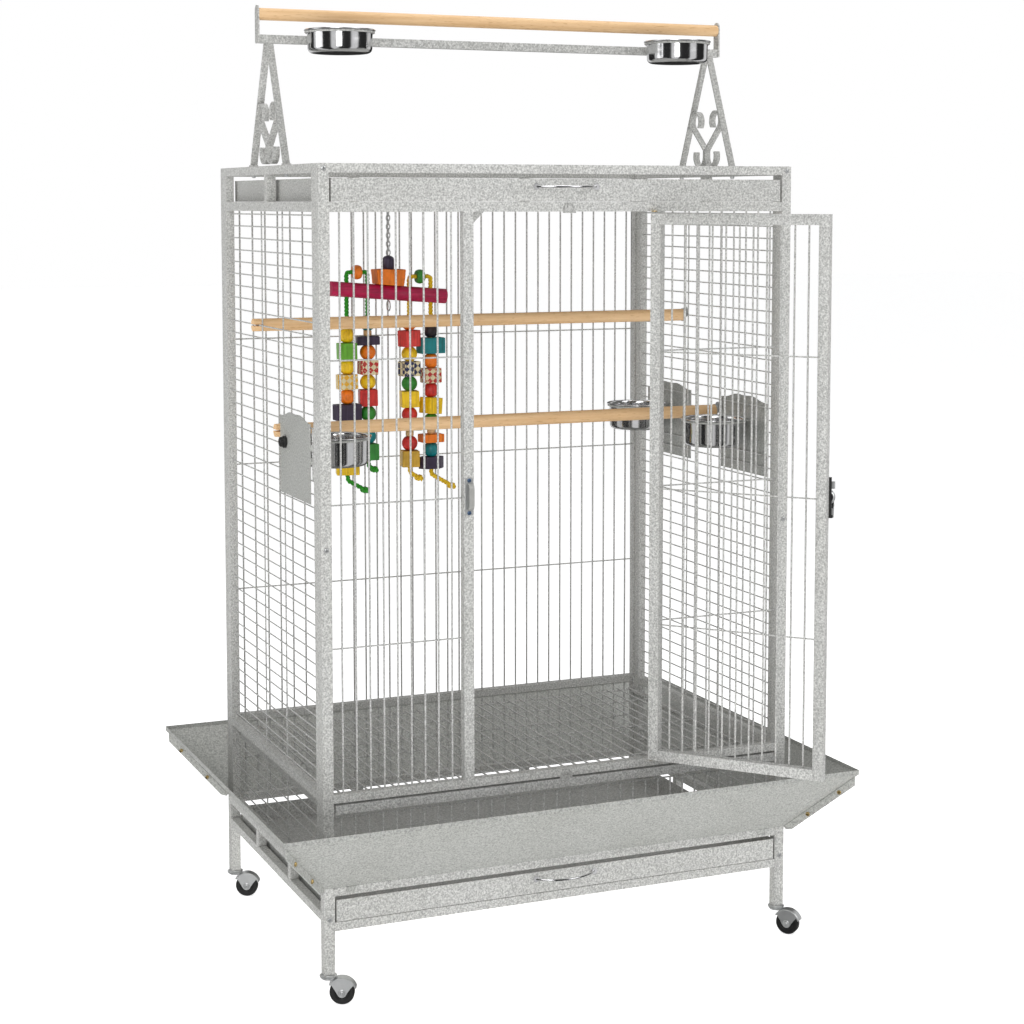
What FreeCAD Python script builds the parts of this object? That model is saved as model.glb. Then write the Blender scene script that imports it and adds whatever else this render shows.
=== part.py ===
import FreeCAD, Part
import math
import os
import re

# Play-top bird cage on a wheeled stand.
# Millimetres, +Z up, the front faces -Y.  Everything is drawn about the cage's own centre line, and
# frame_shift then moves it along Y so that the origin is the bottom centre of the standing object's box,
# with its door open as drawn.

doc = FreeCAD.newDocument("bird_cage")
sheet = doc.addObject("Spreadsheet::Sheet", "Dims")

DIMENSIONS = [
    ("width", 914), ("depth", 626), ("frame_shift", 0),
    ("post", 19), ("rail", 16), ("wall", 1.2), ("sheet_gauge", 1.2),
    ("leg_foot", 53), ("stand_top", 208), ("low_rail_front", 130), ("low_rail_side", 146),
    ("up_rail", 192), ("stand_support_y", 104),
    ("sill_base", 356), ("sill_top", 371), ("header_base", 1373), ("header_top", 1390),
    ("crown_base", 1439), ("crown_top", 1455),
    ("door_post_x", 186), ("bar_pitch", 25.58), ("panel_pitch", 25.35),
    ("bar_dia", 3.4), ("rod_dia", 2.8), ("side_wire_dia", 2.6), ("side_post_dia", 2.8),
    ("bar_inset", 8), ("side_pitch", 22.9), ("side_first", 382.4), ("side_upright_y", 67),
    ("rod_low", 624), ("rod_mid", 873), ("rod_high", 1121),
    ("grille_top", 329), ("grille_foot", 214), ("lower_pitch", 23), ("lower_first", 231),
    ("skirt_reach", 100), ("skirt_foot", 207), ("skirt_rise", 115), ("skirt_lip", 9),
    ("skirt_skin", 1.4), ("flange", 13),
    ("tray_half", 434.5), ("tray_back", 290), ("tray_floor", 146.8), ("tray_height", 38.7),
    ("top_floor", 1390.6), ("top_height", 39.9), ("runner_shelf", 18),
    ("grate_face_base", 336), ("grate_face_top", 352), ("grate_back", 284), ("grate_level", 346),
    ("bow_chord_half", 58), ("bow_rise", 24), ("bow_dia", 4), ("bow_foot_dia", 11),
    ("roof_level", 1378),
    ("door_width", 331), ("door_base", 374), ("door_top", 1369), ("door_axis_x", 171.5),
    ("door_axis_y", 318), ("door_face", 5), ("door_thick", 15.6), ("door_open", 131),
    ("door_gap", 1.5), ("hinge_pin_dia", 4), ("lug", 14), ("lug_plate", 1.5), ("lug_round", 9),
    ("lock_z", 876), ("lock_height", 72),
    ("feeder_z", 972), ("feeder_base", 868), ("feeder_tall", 1008), ("feeder_crest", 1022),
    ("feeder_axis_y", 247), ("feeder_end_y", 64), ("feeder_edge_dia", 4), ("feeder_bowl_y", 163),
    ("feeder_bowl_in", 68), ("ring_radius", 61), ("ring_dia", 4), ("bowl_body", 58.6),
    ("bowl_rim", 64), ("bowl_depth", 53), ("bowl_gauge", 0.8), ("knob_y", 98), ("knob_z", 962),
    ("play_leg_foot", 105), ("play_leg_head", 8), ("play_strip", 13), ("play_gauge", 3),
    ("cross_base", 1675), ("cross_size", 15), ("cross_half", 468), ("bracket_half", 10),
    ("bracket_top", 1743), ("play_perch_z", 1727), ("play_perch_dia", 22),
    ("play_bowl_x", 340), ("play_bowl_y", 80), ("play_ring_z", 1692), ("play_bowl_depth", 42),
    ("perch_dia", 24), ("perch_left", 459), ("perch_right", 443), ("perch_high_y", 88),
    ("perch_high_z", 1161), ("perch_low_y", 51), ("perch_low_z", 977.8), ("perch_slot", 18),
    ("wheel_dia", 44), ("wheel_wide", 15), ("caster_trail", 24), ("axle_dia", 5),
    ("caster_plate", 3), ("caster_disc", 15.5),
    ("tab_reach", 11), ("tab_gauge", 1.6),
    ("toy_x", 166.27), ("toy_y", 157), ("toy_bar_z", 1214), ("toy_bar_dia", 29),
    ("toy_bar_length", 238), ("toy_bar_tilt", 4.5), ("rope_dia", 9.5),
]
ALIASES = {alias for alias, _ in DIMENSIONS}
for row, (alias, value) in enumerate(DIMENSIONS, start=1):
    sheet.set("A%d" % row, alias)
    sheet.set("B%d" % row, str(value))
    sheet.setAlias("B%d" % row, alias)
doc.recompute()

UP = FreeCAD.Vector(0, 0, 1)
AXIS_TURN = {
    "X": FreeCAD.Rotation(FreeCAD.Vector(0, 1, 0), 90),
    "Y": FreeCAD.Rotation(FreeCAD.Vector(1, 0, 0), -90),
    "Z": FreeCAD.Rotation(),
}
nodes = []


def size(alias):
    """Read one driving dimension back from the sheet."""
    return float(sheet.get(alias))


def bound(text):
    """Turn sheet names inside an expression into references to the sheet."""
    return re.sub(r"[A-Za-z_]\w*", lambda m: "Dims." + m.group() if m.group() in ALIASES else m.group(),
                  str(text))


def drive(item, **fields):
    """Bind properties of a document object to expressions in the sheet's names."""
    for field, text in fields.items():
        item.setExpression(field.replace("__", "."), bound(text))
    return item


def place(item, x, y, z, axis="Z"):
    """Turn an object's own Z axis onto a world axis and bind its position."""
    item.Placement = FreeCAD.Placement(FreeCAD.Vector(), AXIS_TURN[axis])
    item.setExpression("Placement.Base.x", bound(x))
    item.setExpression("Placement.Base.y", bound(y))
    item.setExpression("Placement.Base.z", bound(z))
    return item


def box(x, y, z, dx, dy, dz):
    """A block between one low corner and its three sizes."""
    item = doc.addObject("Part::Box", "Block")
    drive(item, Length=dx, Width=dy, Height=dz)
    return place(item, x, y, z)


def rod(x, y, z, length, dia, axis="Z"):
    """A round bar that starts at a point and runs along one axis."""
    item = doc.addObject("Part::Cylinder", "Bar")
    drive(item, Radius="(%s) / 2" % dia, Height=length)
    return place(item, x, y, z, axis)


def cut(base, tool):
    """One solid with another taken out of it."""
    item = doc.addObject("Part::Cut", "Cut")
    item.Base = base
    item.Tool = tool
    return item


def fuse(parts):
    """Several solids joined into one."""
    item = doc.addObject("Part::MultiFuse", "Union")
    item.Shapes = parts
    return item


def tube(x, y, z, dx, dy, dz):
    """A square tube with welded end plates, hollow inside."""
    inner = ["(%s) + wall" % low for low in (x, y, z)] + ["(%s) - 2 * wall" % span for span in (dx, dy, dz)]
    return cut(box(x, y, z, dx, dy, dz), box(*inner))


def wedge(low, high):
    """A slab between a rectangle at low Y and one at high Y; each is (y, x0, x1, z0, z1)."""
    item = doc.addObject("Part::Wedge", "Slab")
    drive(item, Ymin=low[0], Xmin=low[1], Xmax=low[2], Zmin=low[3], Zmax=low[4],
          Ymax=high[0], X2min=high[1], X2max=high[2], Z2min=high[3], Z2max=high[4])
    return item


def solid(shape, name="Form"):
    """A document object for a form that primitives cannot give."""
    item = doc.addObject("Part::Feature", name)
    item.Shape = shape
    return item


def node(label, parts):
    """A named sub-part: the welded or seated group of the solids given."""
    item = doc.addObject("Part::Compound", "Node")
    item.Links = parts
    item.Label = label
    item.setExpression("Placement.Base.y", bound("frame_shift"))
    nodes.append(item)
    return item


def vec(x, y, z):
    return FreeCAD.Vector(x, y, z)


def prism(points, direction):
    """Extrude a closed polygon of points along a vector."""
    return Part.Face(Part.makePolygon(points + points[:1])).extrude(direction)


def ribbon(segments, half, x0, x1):
    """A strip bent in the YZ plane from lines and arcs, (y, z) pairs, and as wide as x0 to x1."""
    sides = []
    for offset in (half, -half):
        edges = []
        for seg in segments:
            if seg[0] == "line":
                (ya, za), (yb, zb) = seg[1], seg[2]
                reach = math.hypot(yb - ya, zb - za)
                ny, nz = -(zb - za) / reach * offset, (yb - ya) / reach * offset
                edges.append(Part.makeLine(vec(x0, ya + ny, za + nz), vec(x0, yb + ny, zb + nz)))
            else:
                (cy, cz), radius, a0, a1 = seg[1], seg[2], seg[3], seg[4]
                r = radius - offset if a1 > a0 else radius + offset
                pts = [vec(x0, cy + r * math.cos(math.radians(a)), cz + r * math.sin(math.radians(a)))
                       for a in (a0, (a0 + a1) / 2, a1)]
                edges.append(Part.Arc(*pts).toShape())
        sides.append(edges)
    start = Part.makeLine(sides[0][0].valueAt(sides[0][0].FirstParameter),
                          sides[1][0].valueAt(sides[1][0].FirstParameter))
    end = Part.makeLine(sides[0][-1].valueAt(sides[0][-1].LastParameter),
                        sides[1][-1].valueAt(sides[1][-1].LastParameter))
    outline = Part.Wire(Part.__sortEdges__(sides[0] + sides[1] + [start, end]))
    return Part.Face(outline).extrude(vec(x1 - x0, 0, 0))


INNER_X = "(width / 2 - post)"
INNER_SPAN = "(width - 2 * post)"
SIDE_START = "(depth / 2 - 2 * post)"
SIDES = (("left", -1), ("right", 1))


def side_x(sign, thick):
    """The low X of a member of the given thickness that is flush with the cage's side."""
    return "-width / 2" if sign < 0 else "width / 2 - (%s)" % thick


# Stand: four legs, side rails with uprights between them, front and rear cross rails.
stand = []
for _, sign in SIDES:
    for y in ("-depth / 2", "depth / 2 - post"):
        stand.append(tube(side_x(sign, "post"), y, "leg_foot", "post", "post", "stand_top - leg_foot"))
    for z in ("low_rail_side", "up_rail"):
        stand.append(tube(side_x(sign, "rail"), "-depth / 2 + post", z, "rail", "depth - 2 * post", "rail"))
    for y in ("-stand_support_y", "stand_support_y"):
        stand.append(tube(side_x(sign, "rail"), y + " - rail / 2", "low_rail_side + rail", "rail", "rail",
                          "up_rail - low_rail_side - rail"))
    shelf_x = "-width / 2 + rail" if sign < 0 else "width / 2 - rail - runner_shelf"
    web_x = "-width / 2 + rail" if sign < 0 else "width / 2 - rail - sheet_gauge"
    stand.append(fuse([
        box(shelf_x, "-depth / 2 + post", "tray_floor - 0.4 - sheet_gauge", "runner_shelf",
            "depth - 2 * post", "sheet_gauge"),
        box(web_x, "-depth / 2 + post", "tray_floor - 0.4", "sheet_gauge", "depth - 2 * post", "12")]))
for y, z in (("-depth / 2", "low_rail_front"), ("-depth / 2", "up_rail"),
             ("depth / 2 - rail", "low_rail_side"), ("depth / 2 - rail", "up_rail")):
    stand.append(tube("-" + INNER_X, y, z, INNER_SPAN, "rail", "rail"))
for x in ("-door_post_x", "door_post_x"):
    stand.append(tube(x + " - post / 2", "depth / 2 - rail", "low_rail_side + rail", "post", "rail",
                      "up_rail - low_rail_side - rail"))
node("stand_frame", stand)

# Front frame: corner posts, door posts, sill, header, crown rail, the gusset, and the door's fixed lugs.
front = []
for x in ("-width / 2", "width / 2 - post"):
    front.append(tube(x, "-depth / 2", "stand_top", "post", "post", "crown_top - stand_top"))
for z, tall in (("sill_base", "sill_top - sill_base"), ("header_base", "header_top - header_base"),
                ("crown_base", "crown_top - crown_base")):
    front.append(tube("-" + INNER_X, "-depth / 2", z, INNER_SPAN, "rail", tall))
for x in ("-door_post_x", "door_post_x"):
    front.append(tube(x + " - post / 2", "-depth / 2", "sill_top", "post", "rail", "header_base - sill_top"))
gusset_x = -size("door_post_x") + size("post") / 2
gusset_y = -size("depth") / 2 + size("rail")
gusset_z = size("header_base")
gusset_outline = [vec(gusset_x + dx, gusset_y, gusset_z + dz)
                  for dx, dz in ((-8, 3), (26, 3), (26, 0), (0, -26), (-8, -26))]
front.append(solid(prism(gusset_outline, vec(0, 1.5, 0)), "Gusset"))
for z in ("door_base - 2 * lug_plate - 0.4", "door_top + lug_plate + 0.4"):
    plate = box("door_axis_x - lug / 2", "-door_axis_y - lug / 2", z, "lug + 10",
                "door_axis_y - depth / 2 + lug / 2", "lug_plate")
    hole = rod("door_axis_x", "-door_axis_y", z + " - 1", "lug_plate + 2", "hinge_pin_dia")
    front.append(cut(plate, hole))
node("front_frame", front)

# Rear frame: the same posts and rails, with two short uprights beside the upper tray.
rear = []
for x in ("-width / 2", "width / 2 - post"):
    rear.append(tube(x, "depth / 2 - post", "stand_top", "post", "post", "crown_top - stand_top"))
for z, tall in (("sill_base", "sill_top - sill_base"), ("header_base", "header_top - header_base"),
                ("crown_base", "crown_top - crown_base")):
    rear.append(tube("-" + INNER_X, "depth / 2 - rail", z, INNER_SPAN, "rail", tall))
for x in ("-door_post_x", "door_post_x"):
    rear.append(tube(x + " - post / 2", "depth / 2 - rail", "header_top", "post", "rail",
                     "crown_base - header_top"))
node("rear_frame", rear)

# Side frames: stiles behind the corner posts, four rails, one upright, and the two runners.
for side, sign in SIDES:
    frame = []
    for y in ("-depth / 2 + post", "depth / 2 - 2 * post"):
        frame.append(tube(side_x(sign, "rail"), y, "stand_top", "rail", "post", "crown_top - stand_top"))
    for z, tall in (("sill_base", "sill_top - sill_base"), ("header_base", "header_top - header_base"),
                    ("crown_base", "crown_top - crown_base")):
        frame.append(tube(side_x(sign, "rail"), "-" + SIDE_START, z, "rail", "2 * " + SIDE_START, tall))
    frame.append(tube(side_x(sign, "rail"), "-post / 2", "header_top", "rail", "post",
                      "crown_base - header_top"))
    shelf_x = "-width / 2 + rail" if sign < 0 else "width / 2 - rail - runner_shelf"
    web_x = "-width / 2 + rail" if sign < 0 else "width / 2 - rail - sheet_gauge"
    for level in ("top_floor - 0.4", "grate_level - bar_dia / 2 - rod_dia - 0.4"):
        frame.append(fuse([
            box(shelf_x, "-depth / 2 + post", level + " - sheet_gauge", "runner_shelf", "depth - 2 * post",
                "sheet_gauge"),
            box(web_x, "-depth / 2 + post", level + " - 12", "sheet_gauge", "depth - 2 * post",
                "12 - sheet_gauge")]))
    node("side_frame_" + side, frame)

# Front bars: nine in each fixed panel with three rods behind, and the grille under the grate.
BAR_Y = "(-depth / 2 + bar_inset)"
ROD_BEHIND = "(-depth / 2 + bar_inset + bar_dia / 2 + rod_dia / 2)"
bars = []
PANEL_MID = "((%s + door_post_x - post / 2 + post) / 2)" % INNER_X
for sign in ("-", ""):
    for k in range(-4, 5):
        bars.append(rod("%s%s + %d * panel_pitch" % (sign, PANEL_MID, k), BAR_Y, "sill_top",
                        "header_base - sill_top", "bar_dia"))
    start = "-" + INNER_X if sign else "door_post_x + post / 2"
    for z in ("rod_low", "rod_mid", "rod_high"):
        bars.append(rod(start, ROD_BEHIND, z, INNER_X + " - door_post_x - post / 2", "rod_dia", "X"))
for k in range(34):
    bars.append(rod("%s * bar_pitch" % (k - 16.5), BAR_Y, "stand_top", "grille_top - stand_top", "bar_dia"))
for z in ("grille_top - rod_dia / 2", "grille_foot"):
    bars.append(rod("-" + INNER_X, ROD_BEHIND, z, INNER_SPAN, "rod_dia", "X"))
node("front_bars", bars)

# Rear bars: a full row with three rods in front of them, and the short row below the bottom rail.
bars = []
REAR_Y = "(depth / 2 - bar_inset)"
REAR_ROD = "(depth / 2 - bar_inset - bar_dia / 2 - rod_dia / 2)"
for k in range(34):
    x = "%s * bar_pitch" % (k - 16.5)
    bars.append(rod(x, REAR_Y, "sill_top", "header_base - sill_top", "bar_dia"))
    bars.append(rod(x, REAR_Y, "stand_top", "sill_base - stand_top", "bar_dia"))
for z in ("rod_low", "rod_mid", "rod_high", "(stand_top + sill_base) / 2"):
    bars.append(rod("-" + INNER_X, REAR_ROD, z, INNER_SPAN, "rod_dia", "X"))
node("rear_bars", bars)

# Side wires: closely spaced horizontals on two uprights, with an opening at each feeder.
FEEDERS = {"left": (-1,), "right": (-1, 1)}
FIRST_GAP, LAST_GAP = 23, 27
for side, sign in SIDES:
    wires = []
    x = "%s(width / 2 - rail / 2)" % ("-" if sign < 0 else "")
    x_up = "%s(width / 2 - rail / 2 - side_wire_dia / 2 - side_post_dia / 2)" % ("-" if sign < 0 else "")
    for k in range(44):
        z = "side_first + %d * side_pitch" % k
        if not FIRST_GAP < k < LAST_GAP:
            wires.append(rod(x, "-" + SIDE_START, z, "2 * " + SIDE_START, "side_wire_dia", "Y"))
            continue
        stub = SIDE_START + " - feeder_axis_y - feeder_edge_dia / 2"
        middle_low = "-side_upright_y"
        middle_high = "side_upright_y" if 1 in FEEDERS[side] else SIDE_START
        wires.append(rod(x, "-" + SIDE_START, z, stub, "side_wire_dia", "Y"))
        wires.append(rod(x, middle_low, z, middle_high + " + side_upright_y", "side_wire_dia", "Y"))
        if 1 in FEEDERS[side]:
            wires.append(rod(x, "feeder_axis_y + feeder_edge_dia / 2", z, stub, "side_wire_dia", "Y"))
    for y in ("-side_upright_y", "side_upright_y"):
        wires.append(rod(x_up, y, "sill_top", "header_base - sill_top", "side_post_dia"))
        wires.append(rod(x_up, y, "stand_top", "sill_base - stand_top", "side_post_dia"))
    for end in FEEDERS[side]:
        wires.append(rod(x, "%d * feeder_axis_y" % end,
                         "side_first + %d * side_pitch + side_wire_dia / 2" % FIRST_GAP,
                         "%d * side_pitch - side_wire_dia" % (LAST_GAP - FIRST_GAP), "feeder_edge_dia"))
    for k in range(5):
        wires.append(rod(x, "-" + SIDE_START, "lower_first + %d * lower_pitch" % k, "2 * " + SIDE_START,
                         "side_wire_dia", "Y"))
    node("side_wires_" + side, wires)

# Roof grille under the upper tray: bars from front to back on three rods.
roof = []
for k in range(34):
    roof.append(rod("%s * bar_pitch" % (k - 16.5), "-depth / 2 + rail", "roof_level", "depth - 2 * rail",
                    "bar_dia", "Y"))
for y in ("-180", "0", "180"):
    roof.append(rod("-width / 2 + rail + sheet_gauge", y, "roof_level + bar_dia / 2 + rod_dia / 2",
                    "width - 2 * rail - 2 * sheet_gauge", "rod_dia", "X"))
node("roof_grille", roof)

# Seed skirts: four sloping sheets mitred at the corners.  Each has an upright lip, and at both ends a flange
# that folds down along the mitre and lies against its neighbour's flange.
REACH, RISE, FOOT = size("skirt_reach"), size("skirt_rise"), size("skirt_foot")
MITRE = math.hypot(REACH * math.sqrt(2), RISE)
ALONG = (REACH * math.sqrt(2) / MITRE, RISE / MITRE)
ACROSS = (ALONG[1], -ALONG[0])
FLANGE_OUTLINE = ((0, 0), (0.96, 0), (0.9, 1), (0.06, 1), (0, 0.5))


def mitre_point(sx, sy, share, drop):
    """A point in the vertical plane of a corner's mitre: share of the way up it, and drop below it."""
    out = ALONG[0] * share * MITRE + ACROSS[0] * drop
    level = FOOT + ALONG[1] * share * MITRE + ACROSS[1] * drop
    reach = out / math.sqrt(2)
    return vec(sx * (size("width") / 2 + reach), sy * (size("depth") / 2 + reach), level)


def flange(sx, sy, towards_x):
    """The folded end strip of one skirt; it lies on the side of the mitre that faces its own skirt."""
    outline = [mitre_point(sx, sy, share, wide * size("flange")) for share, wide in FLANGE_OUTLINE]
    side = 1 if towards_x else -1
    normal = vec(side * sx, -side * sy, 0).normalize()
    return solid(prism([point + normal * 0.01 for point in outline], normal * size("sheet_gauge")), "Flange")


def skirt(label, span, reach, turn, flanges, clips=()):
    """One sloping sheet with its lip, drawn for the -Y side and turned into place, and what is on it."""
    edge = "(%s + skirt_reach)" % span
    out = "(%s + skirt_reach)" % reach
    top = "(skirt_foot + skirt_rise)"
    slope = wedge(("-" + out, "-" + edge, edge, top, top + " + skirt_skin"),
                  ("-" + reach, "-" + span, span, "skirt_foot", "skirt_foot + skirt_skin"))
    lip = wedge(("-%s - sheet_gauge" % out, "-%s - sheet_gauge" % edge, edge + " + sheet_gauge", top,
                 top + " + skirt_lip"),
                ("-" + out, "-" + edge, edge, top, top + " + skirt_lip"))
    holder = doc.addObject("Part::Compound", "Skirt")
    holder.Links = [fuse([slope, lip])]
    holder.Placement = FreeCAD.Placement(vec(0, 0, 0), FreeCAD.Rotation(UP, turn))
    node("skirt_" + label, [holder] + flanges + list(clips))


def clips_at(y):
    """Two tongues that hang a skirt on the stand's upper rail."""
    return [box("%d * 408 - 8" % sign, y, "up_rail + 4", "16", "sheet_gauge", "skirt_foot - up_rail - 4")
            for sign in (-1, 1)]


skirt("front", "(width / 2)", "(depth / 2)", 0, [flange(sx, -1, False) for sx in (-1, 1)],
      clips_at("-depth / 2 - sheet_gauge"))
skirt("right", "(depth / 2)", "(width / 2)", 90, [flange(1, sy, True) for sy in (-1, 1)])
skirt("rear", "(width / 2)", "(depth / 2)", 180, [flange(sx, 1, False) for sx in (-1, 1)],
      clips_at("depth / 2"))
skirt("left", "(depth / 2)", "(width / 2)", 270, [flange(-1, sy, True) for sy in (-1, 1)])


# Fasteners: pan-head screws, all of one pattern.
def screw(x, y, z, aim, head=9, proud=2.4):
    """A pan-head screw's head at a point on a face, standing out along aim."""
    flat = Part.makeCylinder(head / 2, proud * 0.5, vec(x, y, z), aim)
    tip = vec(x, y, z) + FreeCAD.Vector(aim).multiply(proud * 0.5)
    dome = Part.makeCone(head / 2, head * 0.3, proud * 0.5, tip, aim)
    return solid(flat.fuse(dome).removeSplitter(), "Screw")


HX, HY = size("width") / 2, size("depth") / 2
POST = size("post")
FRONT, BACK = vec(0, -1, 0), vec(0, 1, 0)
screws = []
for sign in (-1, 1):
    for z in (152, 798, 1446.5):
        screws.append(screw(sign * (HX - POST / 2), -HY, z, FRONT))
        screws.append(screw(sign * (HX - POST / 2), HY, z, BACK))
for sign in (-1, 1):
    for y in (-size("play_leg_foot"), size("play_leg_foot")):
        screws.append(screw(sign * (HX - size("rail") / 2), y, size("crown_base"), vec(0, 0, -1), 8, 5))
node("frame_screws", screws)

brass = []
for sx in (-1, 1):
    for sy in (-1, 1):
        inward = vec(-sx, sy, 0).normalize()
        for share in (0.3, 0.72):
            spot = mitre_point(sx, sy, share, size("flange") / 2)
            head = spot + inward * (size("sheet_gauge") + 0.01)
            nut = spot - inward * (size("sheet_gauge") + 0.01)
            brass.append(screw(head.x, head.y, head.z, inward, 8, 2.8))
            brass.append(screw(nut.x, nut.y, nut.z, inward * -1, 7, 6))

# Trays: a floor, four walls and a front panel in one folded sheet.
def tray(label, floor, tall):
    """An open sheet-metal tray that is flush with the frame's front."""
    body = box("-tray_half", "-depth / 2", floor, "2 * tray_half", "depth / 2 + tray_back", tall)
    room = box("-tray_half + sheet_gauge", "-depth / 2 + sheet_gauge", floor + " + sheet_gauge",
               "2 * tray_half - 2 * sheet_gauge", "depth / 2 + tray_back - 2 * sheet_gauge", tall)
    return node(label, [cut(body, room)])


tray("top_tray", "top_floor", "top_height")
tray("bottom_tray", "tray_floor", "tray_height")


def bow(label, z):
    """A bow handle: a bent rod between two feet on a tray's front."""
    half, rise = size("bow_chord_half"), size("bow_rise")
    radius = (half * half + rise * rise) / (2 * rise)
    turn = math.asin((half - 1) / radius)
    centre = vec(0, -HY + radius - rise, z)
    points = [centre + vec(radius * math.sin(a), -radius * math.cos(a), 0) for a in (-turn, 0, turn)]
    path = Part.Wire(Part.Arc(*points).toShape())
    tangent = path.Edges[0].tangentAt(path.Edges[0].FirstParameter)
    ring = Part.Wire(Part.Circle(points[0], tangent, size("bow_dia") / 2).toShape())
    rod_shape = path.makePipeShell([ring], True, False)
    feet = [Part.makeCylinder(size("bow_foot_dia") / 2, 2.5, vec(s * half, -HY, z), FRONT) for s in (-1, 1)]
    node(label, [solid(rod_shape.fuse(feet), "Bow")])


bow("top_handle", size("top_floor") + 26)
bow("bottom_handle", size("tray_floor") + 26)

# Grate: a folded front bar, bars from front to back and rods across them.
grate = [box("-tray_half", "-depth / 2", "grate_face_base", "2 * tray_half", "sheet_gauge",
             "grate_face_top - grate_face_base - sheet_gauge"),
         box("-tray_half", "-depth / 2", "grate_face_top - sheet_gauge", "2 * tray_half", "rail",
             "sheet_gauge")]
for k in range(34):
    grate.append(rod("%s * bar_pitch" % (k - 16.5), "-depth / 2 + sheet_gauge", "grate_level",
                     "depth / 2 - sheet_gauge + grate_back", "bar_dia", "Y"))
for y in ("-190", "0", "190", "grate_back - 4"):
    grate.append(rod("-tray_half + 2", y, "grate_level - bar_dia / 2 - rod_dia / 2", "2 * tray_half - 4",
                     "rod_dia", "X"))
node("grate", grate)

# Swivel tabs on the header and on the sill.
def tab(label, x, pivot_z):
    """A trapezoid plate that turns on a screw."""
    reach, y = size("tab_reach"), -HY - 0.3
    outline = [vec(x - 7, y, pivot_z + 6), vec(x + 7, y, pivot_z + 6), vec(x + 13, y, pivot_z - reach),
               vec(x - 13, y, pivot_z - reach)]
    plate = prism(outline, vec(0, -size("tab_gauge"), 0))
    head = screw(x, y - size("tab_gauge"), pivot_z, FRONT, 9, 3).Shape
    node(label, [solid(plate.fuse(head), "Tab")])


tab("tab_header", 5.6, (size("header_base") + size("header_top")) / 2)
tab("tab_sill", 1.6, (size("sill_base") + size("sill_top")) / 2)

# Door, drawn closed and then turned open about its hinge.
axis_point = vec(size("door_axis_x"), -size("door_axis_y"), 0)
swing = FreeCAD.Placement(vec(0, 0, 0), FreeCAD.Rotation(UP, size("door_open")), axis_point)
FACE_Y = "(-door_axis_y + door_face)"
EDGE_X = "(door_axis_x - door_gap)"


def opened(label, parts):
    """A node whose solids are drawn for the closed door and swing with it."""
    holder = doc.addObject("Part::Compound", "Leaf")
    holder.Links = parts
    holder.Placement = swing
    node(label, [holder])


leaf = []
for x in (EDGE_X + " - post", EDGE_X + " - door_width"):
    leaf.append(tube(x, FACE_Y, "door_base", "post", "door_thick", "door_top - door_base"))
for z in ("door_base", "door_top - post"):
    leaf.append(tube(EDGE_X + " - door_width + post", FACE_Y, z, "door_width - 2 * post", "door_thick",
                     "post"))
DOOR_MID = "(%s - door_width / 2)" % EDGE_X
for k in range(-5, 6):
    leaf.append(rod("%s + %d * panel_pitch" % (DOOR_MID, k), FACE_Y + " + door_thick / 2", "door_base + post",
                    "door_top - door_base - 2 * post", "bar_dia"))
for z in ("rod_low", "rod_mid", "rod_high"):
    leaf.append(rod(EDGE_X + " - door_width + post", FACE_Y + " + door_thick / 2 - bar_dia / 2 - rod_dia / 2",
                    z, "door_width - 2 * post", "rod_dia", "X"))
for z in ("door_base - lug_plate", "door_top"):
    arm = box("door_axis_x - lug_round - 6", "-door_axis_y - lug_round / 2", z, "lug_round + 6",
              "lug_round / 2 + door_face + 8", "lug_plate")
    eye = rod("door_axis_x", "-door_axis_y", z, "lug_plate", "lug_round")
    leaf.append(cut(fuse([arm, eye]), rod("door_axis_x", "-door_axis_y", z + " - 1", "lug_plate + 2",
                                          "hinge_pin_dia + 0.1")))
opened("door_leaf", leaf)

for z0, aim in ((size("door_base") - 2 * size("lug_plate") - 0.4, 1),
                (size("door_top") + 2 * size("lug_plate") + 0.4, -1)):
    base = vec(axis_point.x, axis_point.y, z0)
    shank = Part.makeCylinder(size("hinge_pin_dia") / 2, 3.2, base, vec(0, 0, aim))
    head = Part.makeCylinder(5, 2, base, vec(0, 0, -aim))
    brass.append(solid(shank.fuse(head), "Pin"))
node("brass_screws", brass)

lock_low = "(lock_z - lock_height / 2)"
case = box(EDGE_X + " - door_width - 7", FACE_Y + " - 11", lock_low, "25", "11", "lock_height")
bore = rod(EDGE_X + " - door_width + 6", FACE_Y + " - 12", "lock_z", "13", "8.1", "Y")
opened("door_lock", [cut(case, bore)])
grip_x = size("door_axis_x") - size("door_gap") - size("door_width") + 6
grip_y = -size("door_axis_y") + size("door_face")
shaft = Part.makeCylinder(4, 13.7, vec(grip_x, grip_y - 0.3, size("lock_z")), FRONT)
hub = Part.makeCylinder(9, 8, vec(grip_x, grip_y - 12, size("lock_z")), FRONT)
lever = Part.makeBox(9, 6, 44, vec(grip_x - 4.5, grip_y - 19, size("lock_z") - 38))
opened("door_lever", [solid(shaft.fuse([hub, lever]).removeSplitter(), "Lever")])

# Keeper: a curved strip with two screws on the left door post.
keeper_x = -size("door_post_x")
outer = [vec(keeper_x - 7, -HY, 843), vec(keeper_x - 7, -HY - 2, 843), vec(keeper_x - 7, -HY - 2, 851),
         vec(keeper_x - 7, -HY - 12, 864), vec(keeper_x - 7, -HY - 12, 888), vec(keeper_x - 7, -HY - 2, 901),
         vec(keeper_x - 7, -HY - 2, 909), vec(keeper_x - 7, -HY, 909), vec(keeper_x - 7, -HY, 899.6),
         vec(keeper_x - 7, -HY - 10.2, 886.8), vec(keeper_x - 7, -HY - 10.2, 865.2),
         vec(keeper_x - 7, -HY, 852.4)]
keeper = prism(outer, vec(14, 0, 0))
heads = [screw(keeper_x, -HY - 2, z, FRONT, 6, 1.6).Shape for z in (847, 905)]
node("door_keeper", [solid(keeper.fuse(heads), "Keeper")])


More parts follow.
